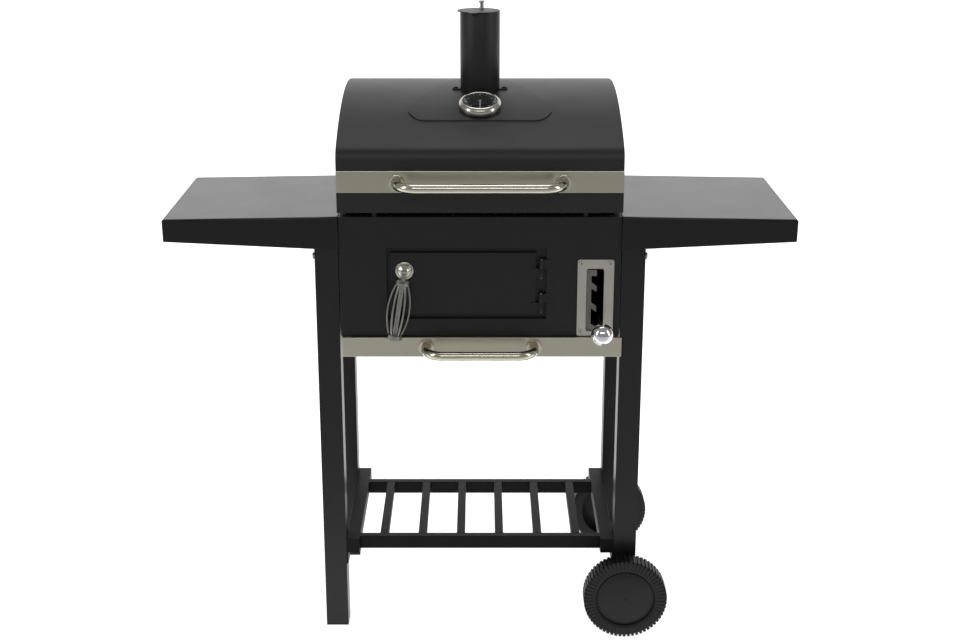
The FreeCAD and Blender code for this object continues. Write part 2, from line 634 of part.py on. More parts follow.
def make_firebox_front():
    """The front panel, pressed in around the charging door and cut out for the lever."""
    body = new_body("front_body")
    face = new_sketch(body, "front_outline", "XZ_Plane")
    rectangle(face, ("-half_body", "body_bottom"), ("half_body", "body_top"))
    pad(body, "front_sheet", face, "body_sheet", back=True)
    press = new_sketch(body, "front_pressing", "XZ_Plane")
    rectangle(press, ("recess_left - body_sheet", "recess_bottom - body_sheet"),
              ("recess_right + body_sheet", "recess_top + body_sheet"))
    pad(body, "front_pressed", press, "recess_depth + body_sheet", back=True)
    recess = new_sketch(body, "front_recess", "XZ_Plane")
    rectangle(recess, ("recess_left", "recess_bottom"), ("recess_right", "recess_top"))
    pocket(body, "front_recess_cut", recess, "recess_depth")
    door = new_sketch(body, "front_doorway", "XZ_Plane")
    rectangle(door, ("leaf_left + door_lap", "leaf_bottom + door_lap"),
              ("leaf_right - door_lap", "leaf_top - door_lap"))
    pocket(body, "front_doorway_cut", door, "recess_depth + body_sheet + 1")
    slot = new_sketch(body, "front_slot", "XZ_Plane")
    rectangle(slot, ("slot_left - slot_lip", "slot_bottom - slot_lip"),
              ("slot_left + slot_width + slot_lip", "slot_top + slot_lip"))
    pocket(body, "front_slot_cut", slot, "body_sheet + 1")
    put(body, ("0", "0", "0"))
    flange = block("front_flange", ("-half_body + top_flange", "body_sheet", "body_top - body_sheet"),
                   ("body_width - 2 * top_flange", "top_flange", "body_sheet"))
    holes = [rod("front_screw_hole", (x, "-1", z), "screw_dia / 2 + screw_gap", "4", "y")
             for x, z in plate_screw_places()]
    sub_part(less("front_formed", joined("front_joined", [body, flange]), holes), "firebox_front")


def make_firebox_floor():
    """The bottom sheet, with a wide opening that lets ash fall into the drawer."""
    whole = block("floor_sheet", ("-half_body + body_sheet", "body_sheet", "body_bottom"),
                  ("body_width - 2 * body_sheet", "body_depth - 2 * body_sheet", "body_sheet"))
    hole = block("floor_hole", ("-half_body + ash_hole_side", "ash_hole_end",
                                "body_bottom - 1"),
                 ("body_width - 2 * ash_hole_side", "body_depth - 2 * ash_hole_end",
                  "body_sheet + 2"))
    sub_part(less("floor_cut", whole, [hole]), "firebox_floor")


def make_inner_ledges():
    """Angles inside the firebox: two carry the charcoal tray, two the cooking grates."""
    ledges = []
    inside = "half_body - body_sheet"
    for behind in ("body_sheet", "body_depth - body_sheet - grate_ledge_width"):
        ledges.append(block("grate_ledge", ("-(%s)" % inside, behind, "grate_height - ledge_sheet"),
                            ("2 * (%s)" % inside, "grate_ledge_width", "ledge_sheet")))
    low = "tray_bottom - ledge_sheet"
    first = "recess_depth + body_sheet"
    last = "body_depth - body_sheet - tray_front - ledge_width"
    for behind, wall_behind in ((first, first), (last, "body_depth - body_sheet - ledge_sheet")):
        deep = "tray_front + ledge_width - (%s)" % first if behind == first else \
            "tray_front + ledge_width"
        flat = block("tray_ledge_flat", ("-tray_width / 2", behind, low),
                     ("tray_width - ledge_width", deep, "ledge_sheet"))
        wall = block("tray_ledge_wall", ("-tray_width / 2", wall_behind, low + " - ledge_width"),
                     ("tray_width - ledge_width", "ledge_sheet", "ledge_width + ledge_sheet"))
        ledges.append(joined("tray_ledge", [flat, wall]))
    sub_part(group("ledge_set", ledges), "inner_ledges")


# Charging door.

def make_door():
    """The pan-shaped leaf in its recess, with a strap and half a hinge at each hinge place."""
    leaf = block("leaf_outer", ("leaf_left", "leaf_gap", "leaf_bottom"),
                 ("leaf_right - leaf_left", "leaf_depth", "leaf_top - leaf_bottom"))
    doc.recompute()
    soft = doc.addObject("Part::Fillet", "leaf_soft")
    soft.Base = leaf
    soft.Edges = [(number + 1, 1.2, 1.2) for number, edge in enumerate(leaf.Shape.Edges)
                  if edge.BoundBox.YMax < leaf.Shape.BoundBox.YMin + 0.01]
    pieces = [soft]
    room = block("leaf_room", ("leaf_left + leaf_sheet", "leaf_gap + leaf_sheet",
                               "leaf_bottom + leaf_sheet"),
                 ("leaf_right - leaf_left - 2 * leaf_sheet", "leaf_depth",
                  "leaf_top - leaf_bottom - 2 * leaf_sheet"))
    bores = [rod("spindle_hole", ("handle_x", "leaf_gap - 1", "handle_z"),
                 "spindle_dia / 2 + spindle_fit", "leaf_sheet + 2", "y"), room]
    for hinge in ("upper_hinge", "lower_hinge"):
        low = "%s - knuckle_length" % hinge
        pieces.append(rod("leaf_knuckle", ("door_axis_x", "-door_axis_out", low),
                          "knuckle_dia / 2", "knuckle_length"))
        pieces.append(block("leaf_strap", ("leaf_right - strap_lap", "leaf_gap - hinge_strap", low),
                            ("door_axis_in + strap_lap", "hinge_strap", "knuckle_length")))
        bores.append(rod("leaf_pin_hole", ("door_axis_x", "-door_axis_out", low + " - 1"),
                         "hinge_pin_dia / 2 + hinge_fit", "knuckle_length + 2"))
    sub_part(less("leaf_bored", joined("leaf_joined", pieces), bores), "charging_door")


def make_door_hinges():
    """The fixed halves of the two door hinges, and their pins."""
    brackets = []
    pins = []
    for hinge in ("upper_hinge", "lower_hinge"):
        low = "%s + knuckle_gap" % hinge
        tube = rod("fixed_knuckle", ("door_axis_x", "-door_axis_out", low),
                   "knuckle_dia / 2", "knuckle_length")
        tab = block("fixed_tab", ("door_axis_x", "-hinge_strap", low),
                    ("recess_right - door_axis_x + strap_lap", "hinge_strap", "knuckle_length"))
        bore = rod("fixed_bore", ("door_axis_x", "-door_axis_out", low + " - 1"),
                   "hinge_pin_dia / 2 + pin_grip", "knuckle_length + 2")
        brackets.append(less("door_hinge_bracket", joined("bracket_joined", [tube, tab]), [bore]))
        start = "%s - knuckle_length - 1" % hinge
        pins.append(rod("door_pin", ("door_axis_x", "-door_axis_out", start),
                        "hinge_pin_dia / 2", "2 * knuckle_length + knuckle_gap + 2"))
    sub_part(group("door_bracket_set", brackets), "door_hinge_brackets")
    sub_part(group("door_pin_set", pins), "door_hinge_pins")


def make_door_rosette():
    """The domed rose that the handle's spindle turns in."""
    body = new_body("rosette_body")
    profile = new_sketch(body, "rosette_section", "XZ_Plane")
    outline(profile, [
        ("spindle_dia / 2 + spindle_fit", "0"),
        ("rosette_dia / 2", "0"),
        ("rosette_dia / 2", "1.5"),
        ("rosette_dia / 2 - 3", "2.5"),
        ("rosette_dia / 2 - 4", "rosette_thick - 4"),
        ("rosette_dia / 2 - 7", "rosette_thick - 2"),
        ("spindle_dia / 2 + 3", "rosette_thick"),
        ("spindle_dia / 2 + spindle_fit", "rosette_thick"),
    ])
    turned(body, "rosette_turned", profile)
    put(body, ("handle_x", "leaf_gap", "handle_z"), FreeCAD.Rotation(X_AXIS, 90))
    sub_part(body, "door_rosette")


def make_door_handle():
    """The wire-cage handle, hung from the spindle: neck, collar, wires around a core, cap."""
    top = "-cage_neck"
    low = "-cage_neck - cage_collar - cage_length"
    whole = new_body("cage_body")
    profile = new_sketch(whole, "cage_section", "XZ_Plane")
    outline(profile, [
        ("0", "0"),
        ("3", "0"),
        ("3.5", top),
        ("cage_collar_dia / 2", top + " - 1"),
        ("cage_collar_dia / 2", "-cage_neck - cage_collar"),
        ("cage_core / 2", "-cage_neck - cage_collar"),
        ("cage_core / 2", low),
        ("cage_cap_dia / 2", low),
        ("cage_cap_dia / 2", low + " - cage_cap + 2"),
        ("cage_cap_dia / 2 - 3", low + " - cage_cap"),
        ("0", low + " - cage_cap"),
    ])
    turned(whole, "cage_turned", profile)
    doc.recompute()
    foot = FreeCAD.Vector(0, 0, -mm("cage_neck") - mm("cage_collar") - mm("cage_length") - 1)
    head = FreeCAD.Vector(0, 0, -mm("cage_neck") - mm("cage_collar") + 1)
    wires = []
    count = int(mm("cage_wires"))
    for turn in range(count):
        around = FreeCAD.Rotation(Z_AXIS, 360 * turn / count)
        start = head + around.multVec(FreeCAD.Vector(mm("cage_collar_dia") / 2 - 3, 0, 0))
        end = foot + around.multVec(FreeCAD.Vector(mm("cage_cap_dia") / 2 - 3, 0, 0))
        widest = (start + end) * 0.5 + around.multVec(
            FreeCAD.Vector(mm("cage_dia") / 2 - mm("cage_cap_dia") / 2 + 2, 0, 0))
        arc = Part.Arc(start, widest, end)
        ring = Part.Wire([Part.Circle(start, arc.tangent(arc.FirstParameter)[0],
                                      mm("cage_wire") / 2).toShape()])
        wires.append(Part.Wire([arc.toShape()]).makePipeShell([ring], True, False))
    cage = whole.Shape.multiFuse(wires)
    handle = doc.addObject("Part::Feature", "cage_handle")
    handle.Shape = cage.removeSplitter()
    put(handle, ("handle_x", "-cage_out", "handle_z"), FreeCAD.Rotation(Y_AXIS, mm("cage_tilt")))
    sub_part(handle, "door_handle")


def make_door_latch():
    """The spindle through the rose, the boss that holds the handle, and the cam inside."""
    back = "leaf_gap + leaf_depth + recess_depth"
    spindle = rod("spindle", ("handle_x", "-cage_out + 3.5", "handle_z"), "spindle_dia / 2",
                  "cage_out - 3.5 + %s" % back, "y")
    cam = block("latch_cam", ("handle_x - latch_length", back + " - latch_plate",
                             "handle_z - latch_width / 2"),
                ("latch_length + 4", "latch_plate", "latch_width"))
    sub_part(joined("latch_joined", [spindle, cam]), "door_latch")


# Fire height adjuster.

def plate_screw_places():
    """The four corner screws of the adjuster plate, as x and z."""
    left = "plate_left + screw_inset"
    right = "plate_left + plate_width - screw_inset"
    return [(x, z) for x in (left, right)
            for z in ("body_bottom + screw_inset + 2", "plate_top - screw_inset")]


def make_height_plate():
    """The stainless plate around the lever's slot, with rounded corners and four screws."""
    body = new_body("plate_body")
    face = new_sketch(body, "plate_outline", "XZ_Plane")
    rectangle(face, ("plate_left", "body_bottom + 0.5"), ("plate_left + plate_width", "plate_top"))
    rectangle(face, ("slot_left", "slot_bottom"), ("slot_left + slot_width", "slot_top"))
    for x, z in plate_screw_places():
        circle(face, x, z, "screw_dia / 2 + screw_gap")
    base = pad(body, "plate_sheet_pad", face, "plate_sheet")
    upright_lines = [mm("plate_left"), mm("plate_left") + mm("plate_width"), mm("slot_left"),
                     mm("slot_left") + mm("slot_width")]
    corners = edges_where(base.Shape, lambda edge: runs_along(edge, Y_AXIS)
                          and min(abs(edge.BoundBox.XMin - x) for x in upright_lines) < 0.01)
    rounded(body, "plate_corners", base, corners, "plate_corner")
    put(body, ("0", "0", "0"))
    sub_part(body, "height_plate")
    screws = []
    for x, z in plate_screw_places():
        head = rod("plate_screw_head", (x, "-plate_sheet - screw_head", z), "screw_head_dia / 2",
                   "screw_head", "y")
        shank = rod("plate_screw_shank", (x, "-plate_sheet", z), "screw_dia / 2", "8", "y")
        screws.append(joined("plate_screw", [head, shank]))
    sub_part(group("plate_screw_set", screws), "height_plate_screws")


def make_notch_plate():
    """The comb behind the slot, whose teeth the lever is rested on."""
    body = new_body("comb_body")
    face = new_sketch(body, "comb_outline", "XZ_Plane")
    left = "slot_left - slot_lip - 4"
    spine = "slot_left + comb_spine"
    tip = "slot_left + comb_spine + comb_tooth"
    corners = [(left, "slot_bottom - 4"), (tip, "slot_bottom - 4"), (tip, "slot_bottom + 8"),
               (spine, "slot_bottom + 12")]
    for share in (0.36, 0.68):
        root = "slot_bottom + (slot_top - slot_bottom) * %s" % share
        corners += [(spine, root), (tip, root + " - comb_tooth_drop"),
                    (tip, root + " - comb_tooth_drop + comb_tooth_height"),
                    (spine, root + " + comb_tooth_height")]
    corners += [(spine, "slot_top - 14"), (tip, "slot_top - 14"), (tip, "slot_top - 3"),
                (left, "slot_top - 3")]
    outline(face, corners)
    pad(body, "comb_sheet_pad", face, "comb_sheet", back=True)
    put(body, ("0", "body_sheet", "0"))
    sub_part(body, "notch_plate")


def make_lever():
    """The lever from the lifting shaft out through the slot, and its chromed ball."""
    doc.recompute()
    behind = mm("shaft_behind") + mm("knob_out")
    drop = mm("shaft_height") - mm("knob_height")
    reach = math.hypot(behind, drop)
    turn = FreeCAD.Rotation(Z_AXIS, FreeCAD.Vector(0, -behind, -drop))
    bar = doc.addObject("Part::Cylinder", "lever_bar")
    bar.setExpression("Radius", formula("lever_dia / 2"))
    start = mm("shaft_collar_dia") / 2 - 2
    bar.Height = reach - mm("knob_dia") / 2 + 4 - start
    put(bar, ("lever_x", "shaft_behind - (%f)" % (start * behind / reach),
              "shaft_height - (%f)" % (start * drop / reach)), turn)
    eye = rod("lever_eye", ("lever_x - lever_eye_width / 2", "shaft_behind", "shaft_height"),
              "shaft_collar_dia / 2", "lever_eye_width", "x")
    bore = rod("lever_bore", ("lever_x - lever_eye_width", "shaft_behind", "shaft_height"),
               "shaft_dia / 2", "2 * lever_eye_width", "x")
    ring = less("lever_ring", eye, [bore])
    sub_part(joined("lever_joined", [bar, ring]), "height_lever")
    centre = ("lever_x", "-knob_out", "knob_height")
    sphere = ball("knob_ball", centre, "knob_dia / 2")
    hole = doc.addObject("Part::Cylinder", "knob_hole")
    hole.setExpression("Radius", formula("lever_dia / 2"))
    hole.Height = reach - mm("knob_dia") / 2 + 4
    put(hole, ("lever_x", "shaft_behind", "shaft_height"), turn)
    sub_part(less("knob_drilled", sphere, [hole]), "lever_knob")


def make_lift_shaft():
    """The cross shaft with its two lifting arms."""
    shaft = rod("shaft_rod", ("-half_body + body_sheet + shaft_end_gap", "shaft_behind", "shaft_height"),
                "shaft_dia / 2", "body_width - 2 * (body_sheet + shaft_end_gap)", "x")
    pieces = [shaft]
    angle = math.radians(mm("arm_lead") - mm("lever_droop"))
    tip_back = "arm_length * cos(arm_lead - lever_droop)"
    tip_up = "arm_length * sin(arm_lead - lever_droop)"
    turn = FreeCAD.Rotation(Y_AXIS, FreeCAD.Vector(0, -math.cos(angle), math.sin(angle)))
    for x in ("-arm_spread / 2", "arm_spread / 2"):
        arm = doc.addObject("Part::Box", "lift_arm")
        arm.setExpression("Length", formula("arm_plate"))
        arm.setExpression("Width", formula("arm_length"))
        arm.setExpression("Height", formula("arm_dia"))
        lift = FreeCAD.Rotation(X_AXIS, -math.degrees(angle))
        back = FreeCAD.Rotation(Z_AXIS, 180)
        arm.Placement = FreeCAD.Placement(FreeCAD.Vector(), back.multiply(lift.inverted()))
        corner = arm.Placement.Rotation.multVec(
            FreeCAD.Vector(mm("arm_plate") / 2, 0, mm("arm_dia") / 2))
        put(arm, ("%s - (%f)" % (x, corner.x), "shaft_behind - (%f)" % corner.y,
                  "shaft_height - (%f)" % corner.z), arm.Placement.Rotation)
        tip = rod("arm_tip", ("%s - arm_plate / 2" % x, "shaft_behind - " + tip_back,
                              "shaft_height + " + tip_up), "arm_dia / 2", "arm_plate", "x")
        pieces += [arm, tip]
    sub_part(joined("shaft_joined", pieces), "lift_shaft")


def open_tray(name, place, size, wall):
    """A sheet tray, open at the top."""
    outer = block(name + "_outer", place, size)
    inner_place = ("%s + %s" % (place[0], wall), "%s + %s" % (place[1], wall),
                   "%s + %s" % (place[2], wall))
    inner_size = ("%s - 2 * %s" % (size[0], wall), "%s - 2 * %s" % (size[1], wall), size[2])
    return less(name, outer, [block(name + "_inner", inner_place, inner_size)])


def make_charcoal_tray():
    """The pan that holds the fire; it rides up on the lifting arms."""
    pan = open_tray("coal_pan", ("-tray_width / 2", "tray_front", "tray_bottom"),
                    ("tray_width", "tray_depth", "tray_wall"), "tray_sheet")
    sub_part(pan, "charcoal_tray")


def make_grates():
    """Two cast grates side by side, barred from front to back."""
    for name, low_x in (("left_cooking_grate", "-grate_width - grate_joint_gap / 2"),
                        ("right_cooking_grate", "grate_joint_gap / 2")):
        body = new_body(name + "_body")
        plan = new_sketch(body, name + "_plan", "XY_Plane")
        rectangle(plan, ("0", "0"), ("grate_width", "grate_depth"))
        pad(body, name + "_slab", plan, "grate_thick")
        first = new_sketch(body, name + "_slot_plan", "XY_Plane")
        rectangle(first, ("grate_slot_margin", "grate_rim"),
                  ("grate_slot_margin + grate_slot", "grate_depth - grate_rim"))
        slot = pocket(body, name + "_slot", first, "grate_thick + 1", back=True)
        row = body.newObject("PartDesign::LinearPattern", name + "_slots")
        row.Originals = [slot]
        row.Direction = (first, ["H_Axis"])
        row.setExpression("Length", formula("grate_pitch * (grate_slots - 1)"))
        row.Occurrences = int(mm("grate_slots"))
        body.Tip = row
        put(body, (low_x, "grate_inset", "grate_height"))
        sub_part(body, name)


# Ash drawer.

def bar_handle(name, spread, reach, bend, place):
    """A round bar handle: two legs out from the face, joined by a straight grip."""
    body = new_body(name + "_body")
    across = mm(spread) / 2
    out = -mm(reach)
    turn = mm(bend)
    route = new_sketch(body, name + "_route", "XY_Plane")
    vec = FreeCAD.Vector
    lean = turn * (1 - math.sqrt(0.5))
    parts_of_route = [
        Part.LineSegment(vec(-across, 0, 0), vec(-across, out + turn, 0)),
        Part.Arc(vec(-across, out + turn, 0), vec(-across + lean, out + lean, 0),
                 vec(-across + turn, out, 0)),
        Part.LineSegment(vec(-across + turn, out, 0), vec(across - turn, out, 0)),
        Part.Arc(vec(across - turn, out, 0), vec(across - lean, out + lean, 0),
                 vec(across, out + turn, 0)),
        Part.LineSegment(vec(across, out + turn, 0), vec(across, 0, 0)),
    ]
    for piece in parts_of_route:
        route.addGeometry(piece, False)
    ends = new_sketch(body, name + "_section", "XZ_Plane")
    circle(ends, "-%s / 2" % spread, "0", "handle_dia / 2")
    doc.recompute()
    tube = body.newObject("PartDesign::AdditivePipe", name + "_tube")
    tube.Profile = ends
    tube.Spine = (route, [])
    doc.recompute()
    put(body, place)
    return body


def handle_roses(name, spread, place):
    """The small round washers between a bar handle and its strip."""
    roses = []
    for sign in ("-", ""):
        x = "%s + %s%s / 2" % (place[0], sign, spread)
        disc = rod("rose_disc", (x, place[1] + " - handle_rose", place[2]),
                   "handle_rose_dia / 2", "handle_rose", "y")
        hole = rod("rose_hole", (x, place[1] + " - handle_rose - 1", place[2]),
                   "handle_dia / 2", "handle_rose + 2", "y")
        roses.append(less("rose", disc, [hole]))
    return sub_part(group(name + "_set", roses), name)


def make_ash_drawer():
    """The drawer's tray, its stainless strip, the bar handle and the runners it slides in."""
    tray = open_tray("ash_tray", ("-drawer_width / 2", "0", "drawer_bottom"),
                     ("drawer_width", "drawer_depth", "drawer_wall"), "drawer_sheet")
    sub_part(tray, "ash_drawer")
    low = ("strip_shift - strip_width / 2", "-strip_proud", "strip_bottom")
    whole = block("strip_outer", low, ("strip_width", "strip_proud - strip_back_gap", "strip_height"))
    room = block("strip_room", ("strip_shift - strip_width / 2 + strip_sheet",
                                "-strip_proud + strip_sheet", "strip_bottom + strip_sheet"),
                 ("strip_width - 2 * strip_sheet", "strip_proud", "strip_height - 2 * strip_sheet"))
    web = block("strip_web", ("-drawer_width / 2", "-strip_proud + strip_sheet", "drawer_bottom + 2"),
                ("drawer_width", "strip_proud - strip_sheet", "drawer_wall - 6"))
    fascia = joined("strip_joined", [less("strip_folded", whole, [room]), web])
    sub_part(fascia, "ash_drawer_front")
    middle = "strip_bottom + strip_height / 2"
    place = ("0", "-strip_proud", middle)
    sub_part(bar_handle("drawer_bar", "drawer_handle_spread", "drawer_handle_reach", "handle_bend",
                        place), "ash_drawer_handle")
    handle_roses("ash_drawer_rosettes", "drawer_handle_spread", place)


def make_runners():
    """The two channels under the floor that carry the ash drawer."""
    runners = []
    for side in (-1, 1):
        inner = "drawer_width / 2 + runner_gap"
        side_x = inner if side > 0 else "-(%s) - runner_sheet" % inner
        hang = block("runner_side", (side_x,
                                     "runner_end_gap",
                                     "drawer_bottom - runner_gap - runner_sheet"),
                     ("runner_sheet", "drawer_depth - 2 * runner_end_gap",
                      "body_bottom - drawer_bottom + runner_gap + runner_sheet"))
        foot_x = "drawer_width / 2 - runner_width" if side > 0 else "-drawer_width / 2 - runner_gap"
        foot = block("runner_foot", (foot_x, "runner_end_gap",
                                     "drawer_bottom - runner_gap - runner_sheet"),
                     ("runner_width + runner_gap", "drawer_depth - 2 * runner_end_gap",
                      "runner_sheet"))
        runners.append(joined("runner", [hang, foot]))
    sub_part(group("runner_set", runners), "drawer_runners")


# Lid.

def roof_outline(extra):
    """The lid's side view as a face in the Y-Z plane, grown outwards by extra."""
    front = mm("front") - extra
    rear = mm("front") + mm("lid_depth") + extra
    low = mm("lid_bottom")
    apex = mm("front") + mm("lid_apex")
    roof = mm("roof_radius") + extra
    nose = mm("front_shoulder") + extra
    tail = mm("rear_shoulder") + extra
    centre = FreeCAD.Vector(0, apex, mm("roof_centre"))
    nose_centre = FreeCAD.Vector(0, mm("front") + mm("front_shoulder"), mm("front_wall_top"))
    tail_centre = FreeCAD.Vector(0, mm("front") + mm("lid_depth") - mm("rear_shoulder"),
                                 mm("rear_wall_top"))

    def from_centre(middle, radius, towards):
        return middle + towards.normalize() * radius

    nose_low = nose_centre + FreeCAD.Vector(0, -nose, 0)
    nose_high = from_centre(nose_centre, nose, nose_centre - centre)
    nose_half = from_centre(nose_centre, nose,
                            (nose_low - nose_centre).normalize()
                            + (nose_high - nose_centre).normalize())
    tail_low = tail_centre + FreeCAD.Vector(0, tail, 0)
    tail_high = from_centre(tail_centre, tail, tail_centre - centre)
    tail_half = from_centre(tail_centre, tail,
                            (tail_low - tail_centre).normalize()
                            + (tail_high - tail_centre).normalize())
    top = FreeCAD.Vector(0, apex, centre.z + roof)
    edges = [
        Part.LineSegment(FreeCAD.Vector(0, front, low), nose_low),
        Part.Arc(nose_low, nose_half, nose_high),
        Part.Arc(nose_high, top, tail_high),
        Part.Arc(tail_high, tail_half, tail_low),
        Part.LineSegment(tail_low, FreeCAD.Vector(0, rear, low)),
        Part.LineSegment(FreeCAD.Vector(0, rear, low), FreeCAD.Vector(0, front, low)),
    ]
    return Part.Face(Part.Wire([edge.toShape() for edge in edges]))


def lid_block(extra):
    """The lid as if it were solid, grown by extra on every side but the bottom."""
    face = roof_outline(extra)
    half = mm("lid_width") / 2 + extra
    face.translate(FreeCAD.Vector(-half, 0, 0))
    return face.extrude(FreeCAD.Vector(2 * half, 0, 0))


def raised_panel():
    """The shape pressed up out of the roof: a blunt wedge, narrow at the back."""
    spots = (("panel_front", "panel_front_half"), ("panel_wide_at", "panel_wide_half"),
             ("panel_rear", "panel_rear_half"))
    right = [FreeCAD.Vector(mm(half), mm("front") + mm(behind), 0) for behind, half in spots]
    left = [FreeCAD.Vector(-spot.x, spot.y, 0) for spot in reversed(right)]
    corners = right + left
    plan = Part.Face(Part.makePolygon(corners + corners[:1]))
    prism = plan.extrude(FreeCAD.Vector(0, 0, mm("lid_top") + 50))
    upright = [edge for edge in prism.Edges if runs_along(edge, Z_AXIS)]
    prism = prism.makeFillet(mm("panel_round"), upright)
    thick = lid_block(mm("panel_rise"))
    return prism.common(thick).cut(lid_block(-mm("lid_sheet") / 2))


def across_roof(radius, behind):
    """A rod straight down through the roof, used to open a hole."""
    base = FreeCAD.Vector(0, mm("front") + mm(behind), mm("lid_bottom"))
    return Part.makeCylinder(radius, 250, base, Z_AXIS)


def make_lid_shell():
    """The pressed lid: an open-bottomed shell with a raised panel and holes in its roof."""
    outer = lid_block(0)
    ends = [edge for edge in outer.Edges
            if abs(abs(edge.BoundBox.XMin) - mm("lid_width") / 2) < 0.01
            and edge.BoundBox.XLength < 0.01
            and edge.BoundBox.ZMax > mm("lid_bottom") + 1]
    outer = outer.makeFillet(mm("lid_edge_round"), ends)
    room = lid_block(-mm("lid_sheet"))
    below = Part.makeBox(mm("lid_width") - 2 * mm("lid_sheet"), mm("lid_depth") - 2 * mm("lid_sheet"),
                         20, FreeCAD.Vector(-mm("lid_width") / 2 + mm("lid_sheet"),
                                            mm("front") + mm("lid_sheet"), mm("lid_bottom") - 10))
    shell = outer.fuse(raised_panel()).cut(room).cut(below)
    shell = shell.cut(across_roof(mm("flue_dia") / 2 - mm("flue_wall"), "flue_behind"))
    gauge = gauge_placement(0)
    stem_hole = Part.makeCylinder(mm("stem_dia") / 2 + mm("stem_gap"), 40,
                                  FreeCAD.Vector(0, 0, -20), Z_AXIS)
    stem_hole.Placement = gauge.multiply(stem_hole.Placement)
    shell = shell.cut(stem_hole)
    for side in (-1, 1):
        spot = FreeCAD.Vector(side * mm("ear_screw_x"), mm("front") + mm("flue_behind"),
                              mm("flue_foot") - 20)
        shell = shell.cut(Part.makeCylinder(mm("screw_dia") / 2, 40, spot, Z_AXIS))
    lid = doc.addObject("Part::Feature", "lid_formed")
    lid.Shape = shell.removeSplitter()
    sub_part(lid, "lid_shell")


def make_lid_trim():
    """The stainless strip across the lid's front, its handle and the handle's roses."""
    sub_part(block("trim", ("-lid_width / 2", "-trim_sheet", "trim_bottom"),
                   ("lid_width", "trim_sheet", "trim_height")), "lid_trim_strip")
    place = ("0", "-trim_sheet", "lid_handle_height")
    handle = bar_handle("lid_bar", "lid_handle_spread", "lid_handle_reach", "lid_handle_bend", place)
    sub_part(handle, "lid_handle")
    handle_roses("lid_handle_rosettes", "lid_handle_spread", place)


def make_bumpers():
    """Two rubber buttons on the firebox's top edge, which the lid comes down on."""
    buttons = [rod("bumper", (x, "bumper_behind", "body_top"), "bumper_dia / 2",
                   "lid_gap - bumper_gap")
               for x in ("-bumper_x", "bumper_x")]
    sub_part(group("bumper_set", buttons), "lid_bumpers")


def make_lid_hinges():
    """Two hinges behind the lid: a leaf on the lid, a leaf on the firebox, and a pin in each."""
    lid_leaves = []
    body_leaves = []
    pins = []
    out = "lid_axis"
    level = "lid_axis_height"
    pin_room = "lid_pin_dia / 2 + hinge_fit"
    for side in ("-lid_hinge_x", "lid_hinge_x"):
        middle = "%s - lid_knuckle / 2" % side
        tube = rod("lid_knuckle_tube", (middle, out, level), "lid_knuckle_dia / 2", "lid_knuckle", "x")
        foot = level + " + lid_knuckle_dia / 2 - lid_leaf"
        plate = block("lid_leaf_plate", (middle, "lid_depth", foot),
                      ("lid_knuckle", "lid_leaf", "lid_leaf_height"))
        link = block("lid_leaf_link", (middle, "lid_depth", foot),
                     ("lid_knuckle", "lid_axis_out", "lid_leaf"))
        bore = rod("lid_leaf_bore", (middle + " - 1", out, level), pin_room, "lid_knuckle + 2", "x")
        lid_leaves.append(less("lid_leaf_bored", joined("lid_leaf_whole", [tube, plate, link]), [bore]))
        knuckles = []
        for start in ("%s - lid_knuckle * 1.5 - lid_knuckle_gap" % side,
                      "%s + lid_knuckle / 2 + lid_knuckle_gap" % side):
            knuckles.append(rod("body_knuckle", (start, out, level), "lid_knuckle_dia / 2",
                                "lid_knuckle", "x"))
            knuckles.append(block("body_link", (start, "body_depth", level + " - lid_leaf_drop"),
                                  ("lid_knuckle", "lid_axis - body_depth", "lid_leaf")))
        web = block("body_leaf_plate", ("%s - lid_knuckle * 1.5 - lid_knuckle_gap" % side,
                                        "body_depth", level + " - lid_leaf_drop - lid_leaf_height"),
                    ("3 * lid_knuckle + 2 * lid_knuckle_gap", "lid_leaf",
                     "lid_leaf_height + lid_leaf"))
        fixed_bore = rod("body_leaf_bore", ("%s - 2 * lid_knuckle" % side, out, level),
                         "lid_pin_dia / 2 + pin_grip", "4 * lid_knuckle", "x")
        body_leaves.append(less("body_leaf_bored", joined("body_leaf_whole", knuckles + [web]),
                                [fixed_bore]))
        pins.append(rod("lid_pin", ("%s - lid_knuckle * 1.5 - lid_pin_end" % side, out, level),
                        "lid_pin_dia / 2", "3 * lid_knuckle + 2 * lid_pin_end", "x"))
    sub_part(group("lid_leaf_set", lid_leaves), "lid_hinge_leaves")
    sub_part(group("body_leaf_set", body_leaves), "body_hinge_leaves")
    sub_part(group("lid_pin_set", pins), "lid_hinge_pins")


# Chimney.

